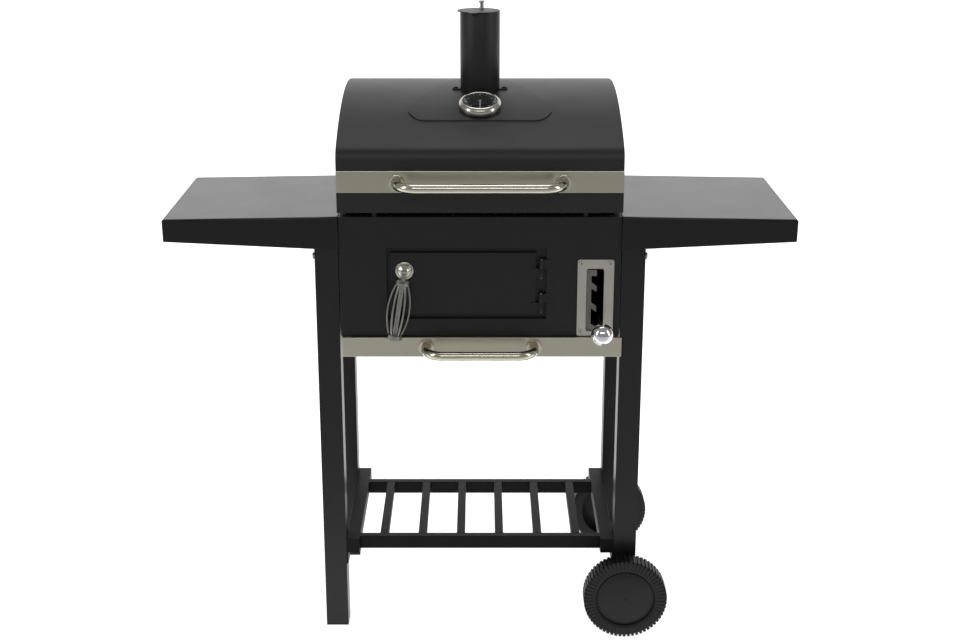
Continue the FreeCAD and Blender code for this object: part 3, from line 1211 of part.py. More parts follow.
def make_chimney():
    """The flue pipe with an ear on each side of its foot, and a lug for the damper's bolt."""
    middle = FreeCAD.Vector(0, mm("front") + mm("flue_behind"), mm("flue_foot") - 20)
    radius = mm("flue_dia") / 2
    height = mm("flue_top") - middle.z
    pipe = Part.makeCylinder(radius, height, middle, Z_AXIS)
    bar = Part.makeBox(2 * mm("ear_reach"), mm("ear_width"), height,
                       FreeCAD.Vector(-mm("ear_reach"), middle.y - mm("ear_width") / 2, middle.z))
    ends = [edge for edge in bar.Edges if runs_along(edge, Z_AXIS)]
    ears = bar.makeFillet(mm("ear_width") / 2 - 1, ends).common(lid_block(mm("panel_rise") + mm("ear_rise")))
    whole = pipe.fuse(ears).cut(lid_block(0)).cut(raised_panel())
    bore = Part.makeCylinder(radius - mm("flue_wall"), height + 10, middle, Z_AXIS)
    whole = whole.cut(bore)
    lug_low = mm("flue_top") - 2 * mm("flue_wall")
    lug = Part.makeBox(mm("pivot_tab"), radius - mm("pivot_back") + mm("pivot_tab") / 2,
                       mm("flue_wall"),
                       FreeCAD.Vector(mm("pivot_x") - mm("pivot_tab") / 2,
                                      middle.y + mm("pivot_back") - mm("pivot_tab") / 2, lug_low))
    inside = Part.makeCylinder(radius - mm("flue_wall") / 2, height, middle, Z_AXIS)
    whole = whole.fuse(lug.common(inside))
    for side in (-1, 1):
        spot = FreeCAD.Vector(side * mm("ear_screw_x"), middle.y, middle.z)
        seat = FreeCAD.Vector(spot.x, spot.y, mm("screw_seat"))
        whole = whole.cut(Part.makeCylinder(mm("screw_dia") / 2, 40, spot, Z_AXIS))
        whole = whole.cut(Part.makeCylinder(mm("screw_head_dia") / 2 + mm("screw_gap"), 10, seat, Z_AXIS))
    pivot = FreeCAD.Vector(mm("pivot_x"), middle.y + mm("pivot_back"), lug_low - 5)
    whole = whole.cut(Part.makeCylinder(mm("pivot_dia") / 2, 20, pivot, Z_AXIS))
    chimney = doc.addObject("Part::Feature", "chimney_formed")
    chimney.Shape = whole.removeSplitter()
    sub_part(chimney, "chimney_pipe")
    screws = []
    for side in ("-ear_screw_x", "ear_screw_x"):
        head = rod("ear_screw_head", (side, "flue_behind", "screw_seat"), "screw_head_dia / 2",
                   "screw_head")
        shank = rod("ear_screw_shank", (side, "flue_behind", "screw_seat - screw_length"),
                    "screw_dia / 2", "screw_length")
        screws.append(joined("ear_screw", [head, shank]))
    sub_part(group("ear_screw_set", screws), "chimney_screws")


def make_damper():
    """The damper disc that swings on a bolt behind the flue, with its spring and nut."""
    middle = "flue_behind"
    disc = rod("damper_plate", ("damper_x", middle, "damper_bottom"), "damper_dia / 2", "damper_sheet")
    tab = rod("damper_tab", ("tab_x", middle + " - damper_dia / 2 + 1", "damper_bottom"),
              "tab_dia / 2", "damper_sheet")
    pivot = "flue_behind + pivot_back"
    hole = rod("damper_hole", ("pivot_x", pivot, "damper_bottom - 1"),
               "pivot_dia / 2 + pivot_fit", "damper_sheet + 2")
    sub_part(less("damper_bored", joined("damper_joined", [disc, tab]), [hole]), "damper_disc")
    low = "flue_top - 2 * flue_wall - nut_height"
    stem = rod("pivot_stem", ("pivot_x", pivot, low),
               "pivot_dia / 2", "damper_top + pivot_rise - (%s)" % low)
    under = rod("pivot_under", ("pivot_x", pivot, low), "nut_dia / 2", "nut_height")
    top = rod("pivot_nut", ("pivot_x", pivot, "damper_top + pivot_rise - nut_height"),
              "nut_dia / 2", "nut_height")
    sub_part(joined("pivot_joined", [stem, under, top]), "damper_bolt")
    coil_radius = mm("spring_dia") / 2 - mm("spring_wire") / 2
    space = mm("pivot_rise") - mm("nut_height") - 2 * mm("spring_gap")
    pitch = (space - mm("spring_wire")) / mm("spring_turns")
    helix = Part.makeHelix(pitch, pitch * mm("spring_turns"), coil_radius)
    half = mm("spring_wire") / 2
    square = [FreeCAD.Vector(coil_radius + across * half, 0, up * half)
              for across, up in ((-1, -1), (1, -1), (1, 1), (-1, 1), (-1, -1))]
    spring = doc.addObject("Part::Feature", "spring_coil")
    spring.Shape = Part.Wire(helix.Edges).makePipeShell([Part.makePolygon(square)], True, True)
    put(spring, ("pivot_x", pivot, "damper_top + spring_gap + spring_wire / 2"))
    sub_part(spring, "damper_spring")


# Thermometer.

def gauge_placement(lift):
    """Where the thermometer stands on the roof, square to it, raised by lift."""
    turn = FreeCAD.Rotation(X_AXIS, mm("gauge_tilt"))
    foot = FreeCAD.Vector(0, mm("front") + mm("gauge_behind"), mm("gauge_foot"))
    out = mm("panel_rise") + lift
    return FreeCAD.Placement(foot + turn.multVec(FreeCAD.Vector(0, 0, out)), turn)


def gauge_part(name, shape, lift=0):
    """A thermometer piece made upright at the origin, then set on the roof."""
    piece = doc.addObject("Part::Feature", name + "_formed")
    piece.Shape = shape
    piece.Placement = gauge_placement(lift)
    return sub_part(piece, name)


def revolved(corners):
    """A solid turned about the Z axis from corners given as radius and height."""
    points = [FreeCAD.Vector(radius, 0, height) for radius, height in corners]
    return Part.Face(Part.makePolygon(points + points[:1])).revolve(FreeCAD.Vector(), Z_AXIS, 360)


def make_thermometer():
    """Case with stem, dial, needle, domed glass and the nut inside the lid."""
    rim = mm("gauge_dia") / 2
    tall = mm("gauge_height")
    eye = mm("dial_dia") / 2
    deck = tall - mm("dial_drop")
    stem = mm("stem_dia") / 2
    case = revolved([(0, -mm("stem_length")), (stem, -mm("stem_length")), (stem, 0), (rim, 0),
                     (rim, tall * 0.45), (rim - 1.5, tall * 0.75), (rim - 4.5, tall * 0.95),
                     (rim - 7, tall), (eye, tall - 1), (eye, deck), (0, deck)])
    gauge_part("thermometer_case", case)
    dial_face = deck + mm("dial_sheet")
    gauge_part("thermometer_dial", Part.makeCylinder(eye - mm("dial_gap"), mm("dial_sheet"),
                                                     FreeCAD.Vector(0, 0, deck), Z_AXIS))
    low = dial_face + mm("needle_gap")
    hub = Part.makeCylinder(mm("needle_hub_dia") / 2, mm("needle_thick"), FreeCAD.Vector(0, 0, low),
                            Z_AXIS)
    half = mm("needle_width") / 2
    blade = Part.makeBox(mm("needle_width"), mm("needle_length"), mm("needle_thick"),
                         FreeCAD.Vector(-half, -mm("needle_length"), low))
    gauge_part("thermometer_needle", hub.fuse(blade).removeSplitter())
    low = dial_face + mm("needle_thick") + 3 * mm("needle_gap")
    thick = mm("glass_thick")
    edge = eye - mm("dial_gap")
    glass = revolved([(0, low), (edge, low), (edge, low + thick * 0.4), (eye * 0.7, low + thick * 0.8),
                      (eye * 0.35, low + thick * 1.1), (0, low + thick * 1.2)])
    gauge_part("thermometer_glass", glass)
    under = -mm("panel_rise") - mm("lid_sheet") - mm("gauge_nut") - 0.6
    nut = Part.makeCylinder(mm("gauge_nut_dia") / 2, mm("gauge_nut"),
                            FreeCAD.Vector(0, 0, under), Z_AXIS)
    nut = nut.cut(Part.makeCylinder(stem, mm("gauge_nut") + 2, FreeCAD.Vector(0, 0, under - 1), Z_AXIS))
    gauge_part("thermometer_nut", nut)


# Side shelves.

def shelf_place(side):
    """Where a shelf hangs: its inner top edge, sloping down a little outwards."""
    turn = FreeCAD.Rotation(Y_AXIS, side * mm("shelf_droop"))
    x = "half_body + shelf_gap" if side > 0 else "-half_body - shelf_gap"
    return (x, "-shelf_overhang", "shelf_height"), turn


def make_shelf(name, side):
    """A folded-sheet shelf: flat top, aprons on three sides, deeper towards the firebox."""
    body = new_body(name + "_body")
    view = new_sketch(body, name + "_front", "XZ_Plane")
    sign = "-" if side < 0 else ""
    outline(view, [("0", "0"), (sign + "shelf_length", "0"),
                   (sign + "shelf_length", "-apron_outer"), ("0", "-apron_inner")])
    base = pad(body, name + "_pad", view, "frame_depth + 2 * shelf_overhang", back=True)
    upper = edges_where(base.Shape, lambda edge: edge.BoundBox.ZMin > -0.01
                        and abs(edge.CenterOfMass.x) > 1)
    rounded(body, name + "_round", base, upper, "shelf_round")
    below = new_sketch(body, name + "_inside", "XY_Plane")
    edge_y = "frame_depth + 2 * shelf_overhang - shelf_sheet"
    rectangle(below, (sign + "(0)", "shelf_sheet"),
              ("%s(shelf_length - shelf_sheet)" % sign, edge_y))
    below.AttachmentOffset = FreeCAD.Placement(FreeCAD.Vector(0, 0, -mm("shelf_sheet")),
                                               FreeCAD.Rotation())
    below.setExpression("AttachmentOffset.Base.z", formula("-shelf_sheet"))
    doc.recompute()
    pocket(body, name + "_hollow", below, "apron_inner + 1")
    place, turn = shelf_place(side)
    put(body, place, turn)
    sub_part(body, name)


def make_shelf_brackets():
    """Angles from the legs to the shelves' undersides, in line with each shelf."""
    brackets = []
    for side in (-1, 1):
        place, turn = shelf_place(side)
        for behind in (0, mm("rear_leg")):
            first = mm("leg_outer") - mm("half_body") - mm("shelf_gap") + mm("shelf_bracket_gap")
            deep = mm("leg_size")
            start = behind + mm("shelf_overhang")
            top = -mm("shelf_sheet")
            flat = Part.makeBox(mm("shelf_bracket_length"), deep, mm("bracket_plate"),
                                FreeCAD.Vector(first, start, top - mm("bracket_plate")))
            web = Part.makeBox(mm("bracket_plate"), deep, mm("shelf_bracket_drop"),
                               FreeCAD.Vector(first, start, top - mm("shelf_bracket_drop")))
            angle = flat.fuse(web).removeSplitter()
            if side < 0:
                angle = angle.mirror(FreeCAD.Vector(), X_AXIS)
            bracket = doc.addObject("Part::Feature", "shelf_bracket")
            bracket.Shape = angle
            brackets.append(put(bracket, place, turn))
    sub_part(group("shelf_bracket_set", brackets), "shelf_brackets")


def check_and_write():
    """Stop if anything failed, then write one file for each sub-part."""
    doc.recompute()
    for item in doc.Objects:
        if "Invalid" in item.State or "Error" in item.State:
            raise RuntimeError("%s failed: %s" % (item.Label, item.State))
    os.makedirs("parts", exist_ok=True)
    for item in parts:
        shape = item.Shape
        if shape.isNull() or not shape.isValid() or not shape.Solids:
            raise RuntimeError(item.Label + " has no valid solid")
        shape.exportStep("parts/%s.step" % item.Label)
    print(len(parts), "sub-parts written")


fill_sizes()
make_legs()
make_leg_plugs()
make_rack()
make_rail_brackets()
make_frame_bolts()
make_axle()
make_wheels()
make_firebox_shell()
make_firebox_front()
make_firebox_floor()
make_inner_ledges()
make_door()
make_door_hinges()
make_door_rosette()
make_door_handle()
make_door_latch()
make_height_plate()
make_notch_plate()
make_lever()
make_lift_shaft()
make_charcoal_tray()
make_grates()
make_ash_drawer()
make_runners()
make_lid_shell()
make_lid_trim()
make_bumpers()
make_lid_hinges()
make_chimney()
make_damper()
make_thermometer()
make_shelf("left_shelf", -1)
make_shelf("right_shelf", 1)
make_shelf_brackets()
check_and_write()
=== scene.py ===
# %% [markdown]
# # A charcoal grill on a cart
# This notebook dresses a finished metal assembly. Every sheet, tube and hinge already stands in
# its right place, so nothing is moved here. The work is what the eye reads first: black enamel
# with its faint orange peel, satin stainless steel with fine brushing, bright chrome, moulded
# plastic, and small details such as the dial's marks and the screws' cross slots.

# %% Load the frame
import json
import math

import bmesh
import bpy
from mathutils import Matrix, Vector


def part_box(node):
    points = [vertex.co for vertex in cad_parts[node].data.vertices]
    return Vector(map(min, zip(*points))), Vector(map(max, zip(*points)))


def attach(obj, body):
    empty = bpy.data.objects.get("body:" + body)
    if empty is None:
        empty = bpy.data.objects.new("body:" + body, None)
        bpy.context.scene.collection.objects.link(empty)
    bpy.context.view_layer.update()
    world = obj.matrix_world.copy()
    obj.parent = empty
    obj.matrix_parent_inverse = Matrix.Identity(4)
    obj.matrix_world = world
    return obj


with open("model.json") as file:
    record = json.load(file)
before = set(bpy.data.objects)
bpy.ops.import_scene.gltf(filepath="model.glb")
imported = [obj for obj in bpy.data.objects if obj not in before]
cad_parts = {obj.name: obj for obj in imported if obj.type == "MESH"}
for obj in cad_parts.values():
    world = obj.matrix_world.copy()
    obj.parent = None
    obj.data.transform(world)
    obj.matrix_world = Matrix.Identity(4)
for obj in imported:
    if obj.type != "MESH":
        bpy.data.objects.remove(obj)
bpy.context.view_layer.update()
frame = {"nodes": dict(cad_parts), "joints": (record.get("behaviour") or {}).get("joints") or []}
nodes = frame["nodes"]
MM = 0.001

# %% [markdown]
# ## Colour and shader helpers
# Paint charts and swatches give colours as sRGB hex values, but a shader works in linear light,
# so one function turns every swatch. A second function adds one shader node with its settings
# and its links, which keeps each finish below short enough to read in one look.

# %% Helpers for finishes
def swatch(code):
    """A hex colour as linear red, green, blue and alpha."""
    levels = [int(code[i:i + 2], 16) / 255 for i in (1, 3, 5)]
    linear = [v / 12.92 if v <= 0.04045 else ((v + 0.055) / 1.055) ** 2.4 for v in levels]
    return (*linear, 1.0)


def add(tree, kind, settings=None, links=None):
    """Add one shader node. Settings fill its properties or sockets, links feed its sockets."""
    made = tree.nodes.new(kind)
    for key, value in (settings or {}).items():
        if isinstance(key, str) and hasattr(made, key):
            setattr(made, key, value)
        else:
            made.inputs[key].default_value = value
    for key, source in (links or {}).items():
        tree.links.new(source, made.inputs[key])
    return made


def new_finish(name, colour, metallic, roughness, extra=None):
    """A material with one surface shader, ready for its pattern."""
    finish = bpy.data.materials.new(name)
    finish.use_nodes = True
    tree = finish.node_tree
    surface = tree.nodes["Principled BSDF"]
    surface.inputs["Base Color"].default_value = swatch(colour)
    surface.inputs["Metallic"].default_value = metallic
    surface.inputs["Roughness"].default_value = roughness
    for key, value in (extra or {}).items():
        surface.inputs[key].default_value = value
    place = add(tree, "ShaderNodeTexCoord").outputs["Object"]
    return finish, tree, surface, place


def per_metre(size_mm):
    """Noise scale whose spots are about size_mm across."""
    return 1000.0 / size_mm


def ramp(tree, source, low, high):
    """Turn a 0 to 1 pattern into values from low to high."""
    made = add(tree, "ShaderNodeMapRange", {"To Min": low, "To Max": high}, {"Value": source})
    return made.outputs["Result"]


def relief(tree, surface, height, depth_mm, strength):
    """Press a pattern into the surface, depth_mm deep."""
    bump = add(tree, "ShaderNodeBump", {"Distance": depth_mm * MM, "Strength": strength},
               {"Height": height})
    tree.links.new(bump.outputs["Normal"], surface.inputs["Normal"])


# %% [markdown]
# ## Black enamel on sheet steel
# The firebox, legs and shelves are steel, powder coated in a smooth semi-gloss black and baked.
# The coat never lies quite flat: it keeps an orange peel about two to three millimetres across
# that softens every reflection, handling leaves the gloss uneven, and fine dust greys it a
# little. Three noises do these three jobs.

# %% Enamel finishes
def enamel(name, colour, roughness, peel_mm, peel_depth_mm, spread, coat, mirror=0.4):
    """Baked black coating: orange peel, slow changes in the gloss, and a trace of dust."""
    finish, tree, surface, place = new_finish(
        name, colour, 0.0, roughness,
        {"IOR": 1.5, "Specular IOR Level": mirror, "Coat Weight": coat, "Coat Roughness": 0.16})
    peel = add(tree, "ShaderNodeTexNoise", {"Scale": per_metre(peel_mm), "Detail": 2.0},
               {"Vector": place}).outputs["Fac"]
    haze = add(tree, "ShaderNodeTexNoise", {"Scale": per_metre(90), "Detail": 4.0},
               {"Vector": place}).outputs["Fac"]
    tree.links.new(ramp(tree, haze, roughness - spread, roughness + spread),
                   surface.inputs["Roughness"])
    dust = add(tree, "ShaderNodeTexNoise", {"Scale": per_metre(1.2), "Detail": 1.0},
               {"Vector": place}).outputs["Fac"]
    tone = add(tree, "ShaderNodeMix",
               {"data_type": "RGBA", 6: swatch(colour), 7: swatch("#202022")},
               {0: ramp(tree, dust, 0.0, 0.3)})
    tree.links.new(tone.outputs[2], surface.inputs["Base Color"])
    relief(tree, surface, peel, peel_depth_mm, 0.6)
    return finish


# Smooth coat on the legs and the firebox: a soft but clear reflection.
gloss_enamel = enamel("semi_gloss_black_enamel", "#0f0f10", 0.36, 2.6, 0.05, 0.05, 0.03, 0.3)
# The shelf tops are the same coat, sprayed a little heavier, so they catch more of the sky.
shelf_enamel = enamel("shelf_black_enamel", "#060609", 0.3, 3.0, 0.04, 0.04, 0.1, 0.25)
# The rack under the firebox is dipped instead of sprayed, and dries flatter and darker.
rack_enamel = enamel("rack_black_enamel", "#0a0a0b", 0.5, 2.6, 0.05, 0.05, 0.0, 0.12)
# High-temperature paint on the lid and flue: flatter, with a wide soft sheen.
stove_paint = enamel("satin_stove_paint", "#181819", 0.46, 1.6, 0.05, 0.05, 0.0, 0.35)
# Parts inside the fire keep no gloss at all.
sooty_steel = enamel("sooty_steel", "#100f0e", 0.7, 1.5, 0.12, 0.08, 0.0)
print("enamels ready")

# %% [markdown]
# ## Satin stainless steel
# Trim strips, handles and the adjuster plate are stainless, brushed on a belt with about 240
# grit. The scratches are a tenth of a millimetre wide, too fine to show at this distance, so
# they are drawn about four times as coarse. Stretching a noise along one axis makes the lines.

# %% Stainless finishes
def brushed(name, colour, roughness, stretch, line_mm=0.45):
    """Brushed metal: a noise stretched along the belt's direction."""
    finish, tree, surface, place = new_finish(name, colour, 1.0, roughness)
    squeezed = add(tree, "ShaderNodeMapping", {"Scale": stretch}, {"Vector": place}).outputs[0]
    lines = add(tree, "ShaderNodeTexNoise", {"Scale": per_metre(line_mm), "Detail": 3.0},
                {"Vector": squeezed}).outputs["Fac"]
    cloud = add(tree, "ShaderNodeTexNoise", {"Scale": per_metre(60), "Detail": 2.0},
                {"Vector": place}).outputs["Fac"]
    both = add(tree, "ShaderNodeMath", {"operation": "ADD"}, {0: lines, 1: cloud}).outputs[0]
    rough = add(tree, "ShaderNodeMapRange",
                {"From Max": 2.0, "To Min": roughness - 0.07, "To Max": roughness + 0.07},
                {"Value": both}).outputs["Result"]
    tree.links.new(rough, surface.inputs["Roughness"])
    relief(tree, surface, lines, 0.02, 0.5)
    return finish


# Long strips are brushed from side to side, and the plate up and down.
strip_steel = brushed("brushed_stainless_strip", "#b3afa0", 0.3, (0.02, 1.0, 1.0))
plate_steel = brushed("brushed_stainless_plate", "#b5b2aa", 0.32, (1.0, 1.0, 0.02))
# Handles are polished after bending, so their brushing is fainter and runs along the grip.
tube_steel = brushed("polished_stainless_tube", "#c6c1b2", 0.17, (0.2, 1.0, 1.0), 0.8)
# Turned and plated pieces such as bolts and pins.
zinc = brushed("zinc_plated_steel", "#b4b5b5", 0.38, (1.0, 1.0, 1.0), 1.2)
# The comb behind the slot is bare pressed steel, dulled by heat.
bare_steel = brushed("heat_dulled_steel", "#76746f", 0.48, (1.0, 1.0, 1.0), 1.6)
# The thermometer's rim and the door's rose are buffed to a satin that has no direction.
rim_steel = brushed("satin_rim_steel", "#b5b2a8", 0.24, (1.0, 1.0, 1.0), 2.0)
print("steels ready")

# %% [markdown]
# ## Chrome
# The lever's ball and the door's latch are chrome plated: nearly a mirror. Even so, plating shows
# faint swirls from polishing and fingerprints, which only change its roughness by a hair.

# %% Chrome finish
def chrome_plate(name, colour, roughness):
    """A bright plated surface with the faintest uneven polish."""
    finish, tree, surface, place = new_finish(name, colour, 1.0, roughness)
    smear = add(tree, "ShaderNodeTexNoise", {"Scale": per_metre(7), "Detail": 5.0},
                {"Vector": place}).outputs["Fac"]
    tree.links.new(ramp(tree, smear, roughness * 0.5, roughness * 1.7),
                   surface.inputs["Roughness"])
    relief(tree, surface, smear, 0.01, 0.3)
    return finish


bright_chrome = chrome_plate("polished_chrome_plate", "#dfe0e1", 0.07)
# The cage handle is dark nickelled wire, much greyer and rougher than the ball.
nickel_wire = chrome_plate("dark_nickel_wire", "#8b8a87", 0.3)
print("plated finishes ready")

# %% [markdown]
# ## Plastic, rubber, iron, dial and glass
# Wheels are moulded polypropylene, filled black, with the fine grain of an eroded mould. The
# bumpers are soft rubber. The grates are cast iron under matt enamel, pitted by the sand of the
# mould. The dial is a dark printed disc, read through clear glass.

# %% Other finishes
def grained(name, colour, roughness, grain_mm, depth_mm, metallic=0.0, ior=1.49):
    """A plain dark surface with a fine even grain."""
    finish, tree, surface, place = new_finish(name, colour, metallic, roughness, {"IOR": ior})
    grain = add(tree, "ShaderNodeTexNoise", {"Scale": per_metre(grain_mm), "Detail": 3.0},
                {"Vector": place}).outputs["Fac"]
    wear = add(tree, "ShaderNodeTexNoise", {"Scale": per_metre(30), "Detail": 3.0},
               {"Vector": place}).outputs["Fac"]
    tree.links.new(ramp(tree, wear, roughness - 0.08, roughness + 0.08),
                   surface.inputs["Roughness"])
    relief(tree, surface, grain, depth_mm, 0.7)
    return finish


wheel_plastic = grained("moulded_polypropylene", "#0d0d0e", 0.5, 1.3, 0.06, ior=1.36)
bumper_rubber = grained("soft_black_rubber", "#141414", 0.75, 0.8, 0.05, ior=1.52)
cast_enamel = grained("enamelled_cast_iron", "#191818", 0.55, 1.8, 0.25)
dial_print = grained("printed_dark_dial", "#26272b", 0.5, 0.9, 0.01)
mark_print = grained("printed_pale_marks", "#d8d6cc", 0.55, 0.9, 0.01)
needle_enamel = grained("white_needle_enamel", "#d9d8d2", 0.35, 1.0, 0.01)
# Flat dark metal for the screws' cross slots: painted shade standing in for each slot's hollow.
slot_shadow = grained("painted_slot_shade", "#2a2a2a", 0.6, 0.5, 0.01, metallic=1.0)


def clear_glass(name):
    """Thin domed glass with a trace of haze."""
    finish, tree, surface, place = new_finish(
        name, "#f4f7f7", 0.0, 0.02, {"IOR": 1.52, "Transmission Weight": 1.0})
    haze = add(tree, "ShaderNodeTexNoise", {"Scale": per_metre(15), "Detail": 3.0},
               {"Vector": place}).outputs["Fac"]
    tree.links.new(ramp(tree, haze, 0.0, 0.05), surface.inputs["Roughness"])
    return finish


gauge_glass = clear_glass("gauge_glass")
print("plastic, rubber, iron, dial and glass ready")

# %% [markdown]
# ## Dress the metalwork
# Each piece gets its finish by name. Sheet steel is never knife sharp: a folded or sheared edge
# keeps a small round that draws a thin bright line. A bevel modifier adds it without touching
# the piece's own mesh. A weld before it closes the seams that an exchange file leaves, and flat
# sheet also has its small triangles merged into whole faces.

# %% Finishes and soft edges, piece by piece
DRESS = {
    gloss_enamel: ["left_front_leg", "left_rear_leg", "right_front_leg", "right_rear_leg",
                   "firebox_shell", "firebox_front", "charging_door", "door_hinge_brackets",
                   "shelf_brackets", "drawer_runners", "body_hinge_leaves", "lid_hinge_leaves",
                   "height_lever"],
    shelf_enamel: ["left_shelf", "right_shelf"],
    rack_enamel: ["rack_side_rails", "rack_cross_rails", "rack_slats", "rail_brackets"],
    stove_paint: ["lid_shell", "chimney_pipe", "damper_disc", "chimney_screws"],
    sooty_steel: ["firebox_floor", "inner_ledges", "lift_shaft", "charcoal_tray",
                  "ash_drawer"],
    strip_steel: ["ash_drawer_front", "lid_trim_strip"],
    plate_steel: ["height_plate"],
    tube_steel: ["lid_handle", "lid_handle_rosettes", "ash_drawer_handle", "ash_drawer_rosettes"],
    rim_steel: ["thermometer_case", "door_rosette"],
    bare_steel: ["notch_plate"],
    bright_chrome: ["lever_knob", "door_latch"],
    nickel_wire: ["door_handle"],
    zinc: ["frame_bolts", "axle", "door_hinge_pins", "lid_hinge_pins",
           "damper_bolt", "damper_spring", "height_plate_screws", "thermometer_nut"],
    cast_enamel: ["left_cooking_grate", "right_cooking_grate"],
    wheel_plastic: ["front_wheel", "front_wheel_cap", "rear_wheel", "rear_wheel_cap", "leg_plugs"],
    bumper_rubber: ["lid_bumpers"],
    dial_print: ["thermometer_dial"],
    needle_enamel: ["thermometer_needle"],
    gauge_glass: ["thermometer_glass"],
}
# Each row: the round in millimetres, whether the pieces are flat sheet, and their names.
EDGE_MM = (
    (1.6, True, ["left_front_leg", "left_rear_leg", "right_front_leg", "right_rear_leg"]),
    (1.2, True, ["rack_side_rails", "rack_cross_rails", "rack_slats"]),
    (0.8, True, ["firebox_front", "charging_door", "height_plate", "lid_trim_strip",
                 "ash_drawer_front", "left_shelf", "right_shelf"]),
    (0.5, True, ["rail_brackets", "door_hinge_brackets", "notch_plate", "shelf_brackets"]),
    (1.0, True, ["left_cooking_grate", "right_cooking_grate"]),
    (0.5, False, ["front_wheel", "rear_wheel", "front_wheel_cap", "rear_wheel_cap", "leg_plugs",
                  "lid_bumpers", "damper_disc"]),
    (0.4, False, ["lid_handle_rosettes", "ash_drawer_rosettes", "height_plate_screws",
                  "chimney_screws", "damper_bolt", "frame_bolts", "chimney_pipe",
                  "thermometer_case", "door_rosette"]),
)
SEAM_GAP = 0.02 * MM
FLAT_ANGLE = math.radians(1)
SHARP_ANGLE = math.radians(40)
BEVEL_STEPS = 2


def soften(piece, radius_mm, flat_sheet):
    """Round a piece's sharp edges a little, leaving its mesh as it is."""
    weld = piece.modifiers.new("close_seams", "WELD")
    weld.merge_threshold = SEAM_GAP
    if flat_sheet:
        whole = piece.modifiers.new("whole_faces", "DECIMATE")
        whole.decimate_type = "DISSOLVE"
        whole.angle_limit = FLAT_ANGLE
    bevel = piece.modifiers.new("soft_edges", "BEVEL")
    bevel.width = radius_mm * MM
    bevel.segments = BEVEL_STEPS
    bevel.limit_method = "ANGLE"
    bevel.angle_limit = SHARP_ANGLE
    bevel.use_clamp_overlap = True


for finish, names in DRESS.items():
    for name in names:
        piece = nodes[name]
        piece.data.materials.clear()
        piece.data.materials.append(finish)
dressed = sorted(name for names in DRESS.values() for name in names)
print("dressed", len(dressed), "missing", sorted(set(nodes) - set(dressed)))
for radius, flat_sheet, names in EDGE_MM:
    for name in names:
        soften(nodes[name], radius, flat_sheet)

# %% [markdown]
# ## Small pieces
# A few things are too small for the metalwork's drawing but catch the eye: the marks on the
# dial, and the cross slots in the screws, which are dark bars of painted shade for the hollow of
# each slot. Each is a thin solid of its own that rides on the body that it belongs to.

# %% Making a small piece
def piece_from(name, build, finish, body):
    """Build a mesh with bmesh, give it a finish and let it ride on a body."""
    work = bmesh.new()
    build(work)
    bmesh.ops.recalc_face_normals(work, faces=work.faces)
    mesh = bpy.data.meshes.new(name)
    work.to_mesh(mesh)
    work.free()
    made = bpy.data.objects.new(name, mesh)
    bpy.context.collection.objects.link(made)
    made.data.materials.append(finish)
    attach(made, body)
    print("made", name, "with", len(mesh.polygons), "faces")


def bar_in(work, centre, turn, size):
    """Add one small bar with softened edges, turned and placed."""
    cube = bmesh.ops.create_cube(work, size=1.0)
    bmesh.ops.scale(work, vec=Vector(size), verts=cube["verts"])
    edges = list({edge for vert in cube["verts"] for edge in vert.link_edges})
    rounded = bmesh.ops.bevel(work, geom=edges, offset=min(size) * 0.2, segments=1,
                              affect="EDGES", profile=0.5)
    verts = list({vert for face in rounded["faces"] for vert in face.verts})
    bmesh.ops.transform(work, matrix=Matrix.Translation(centre) @ turn.to_4x4(), verts=verts)


# %% Where the thermometer looks
dial_low, dial_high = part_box("thermometer_dial")
needle_joint = [joint for joint in frame["joints"] if joint["name"] == "gauge_needle"][0]
dial_axis = Vector(needle_joint["axis"]).normalized()
dial_tilt = Matrix.Rotation(math.atan2(-dial_axis.y, dial_axis.z), 3, "X")
dial_centre = (dial_low + dial_high) / 2
dial_face = dial_centre + dial_axis * 0.5 * MM
dial_radius = (dial_high.x - dial_low.x) / 2
print("dial centre", [round(v, 4) for v in dial_face], "radius", round(dial_radius, 4))


# %% Marks on the dial
MARK_COUNT = 21
MARK_STEP_DEG = 13.5
FIRST_MARK_DEG = 225
LONG_EVERY = 5
LONG_MARK_MM = (5.5, 1.1)
SHORT_MARK_MM = (3.2, 0.6)
MARK_THICK_MM = 0.2
MARK_LIFT_MM = 0.25
MARK_MARGIN_MM = 3.5


def draw_marks(work):
    """Marks every 13.5 degrees around the scale, with a longer one at every fifth."""
    for step in range(MARK_COUNT):
        angle = math.radians(FIRST_MARK_DEG - MARK_STEP_DEG * step)
        long_mark = step % LONG_EVERY == 0
        length_mm, width_mm = LONG_MARK_MM if long_mark else SHORT_MARK_MM
        length = length_mm * MM
        out = dial_radius - MARK_MARGIN_MM * MM - length / 2
        spot = Vector((math.cos(angle) * out, math.sin(angle) * out, MARK_LIFT_MM * MM))
        turn = dial_tilt @ Matrix.Rotation(angle, 3, "Z")
        size = (length, width_mm * MM, MARK_THICK_MM * MM)
        bar_in(work, dial_face + dial_tilt @ spot, turn, size)


piece_from("dial_marks", draw_marks, mark_print, "lid")


# %% Cross slots in the screws, drawn as dark bars of painted shade
CROSS_SIZE = (4.2 * MM, 0.8 * MM, 0.5 * MM)
HEAD_HALF = 4.0 * MM
CROSS_SINK = 0.1 * MM
TURN_EACH_DEG = 18


def draw_crosses(centres, facing):
    """Two thin dark bars set crosswise into each screw's head, painted shade for its slot."""
    def build(work):
        for number, centre in enumerate(centres):
            for quarter in (0, 90):
                spin = Matrix.Rotation(math.radians(TURN_EACH_DEG * number + quarter), 3, "Z")
                bar_in(work, centre, facing @ spin, CROSS_SIZE)
    return build
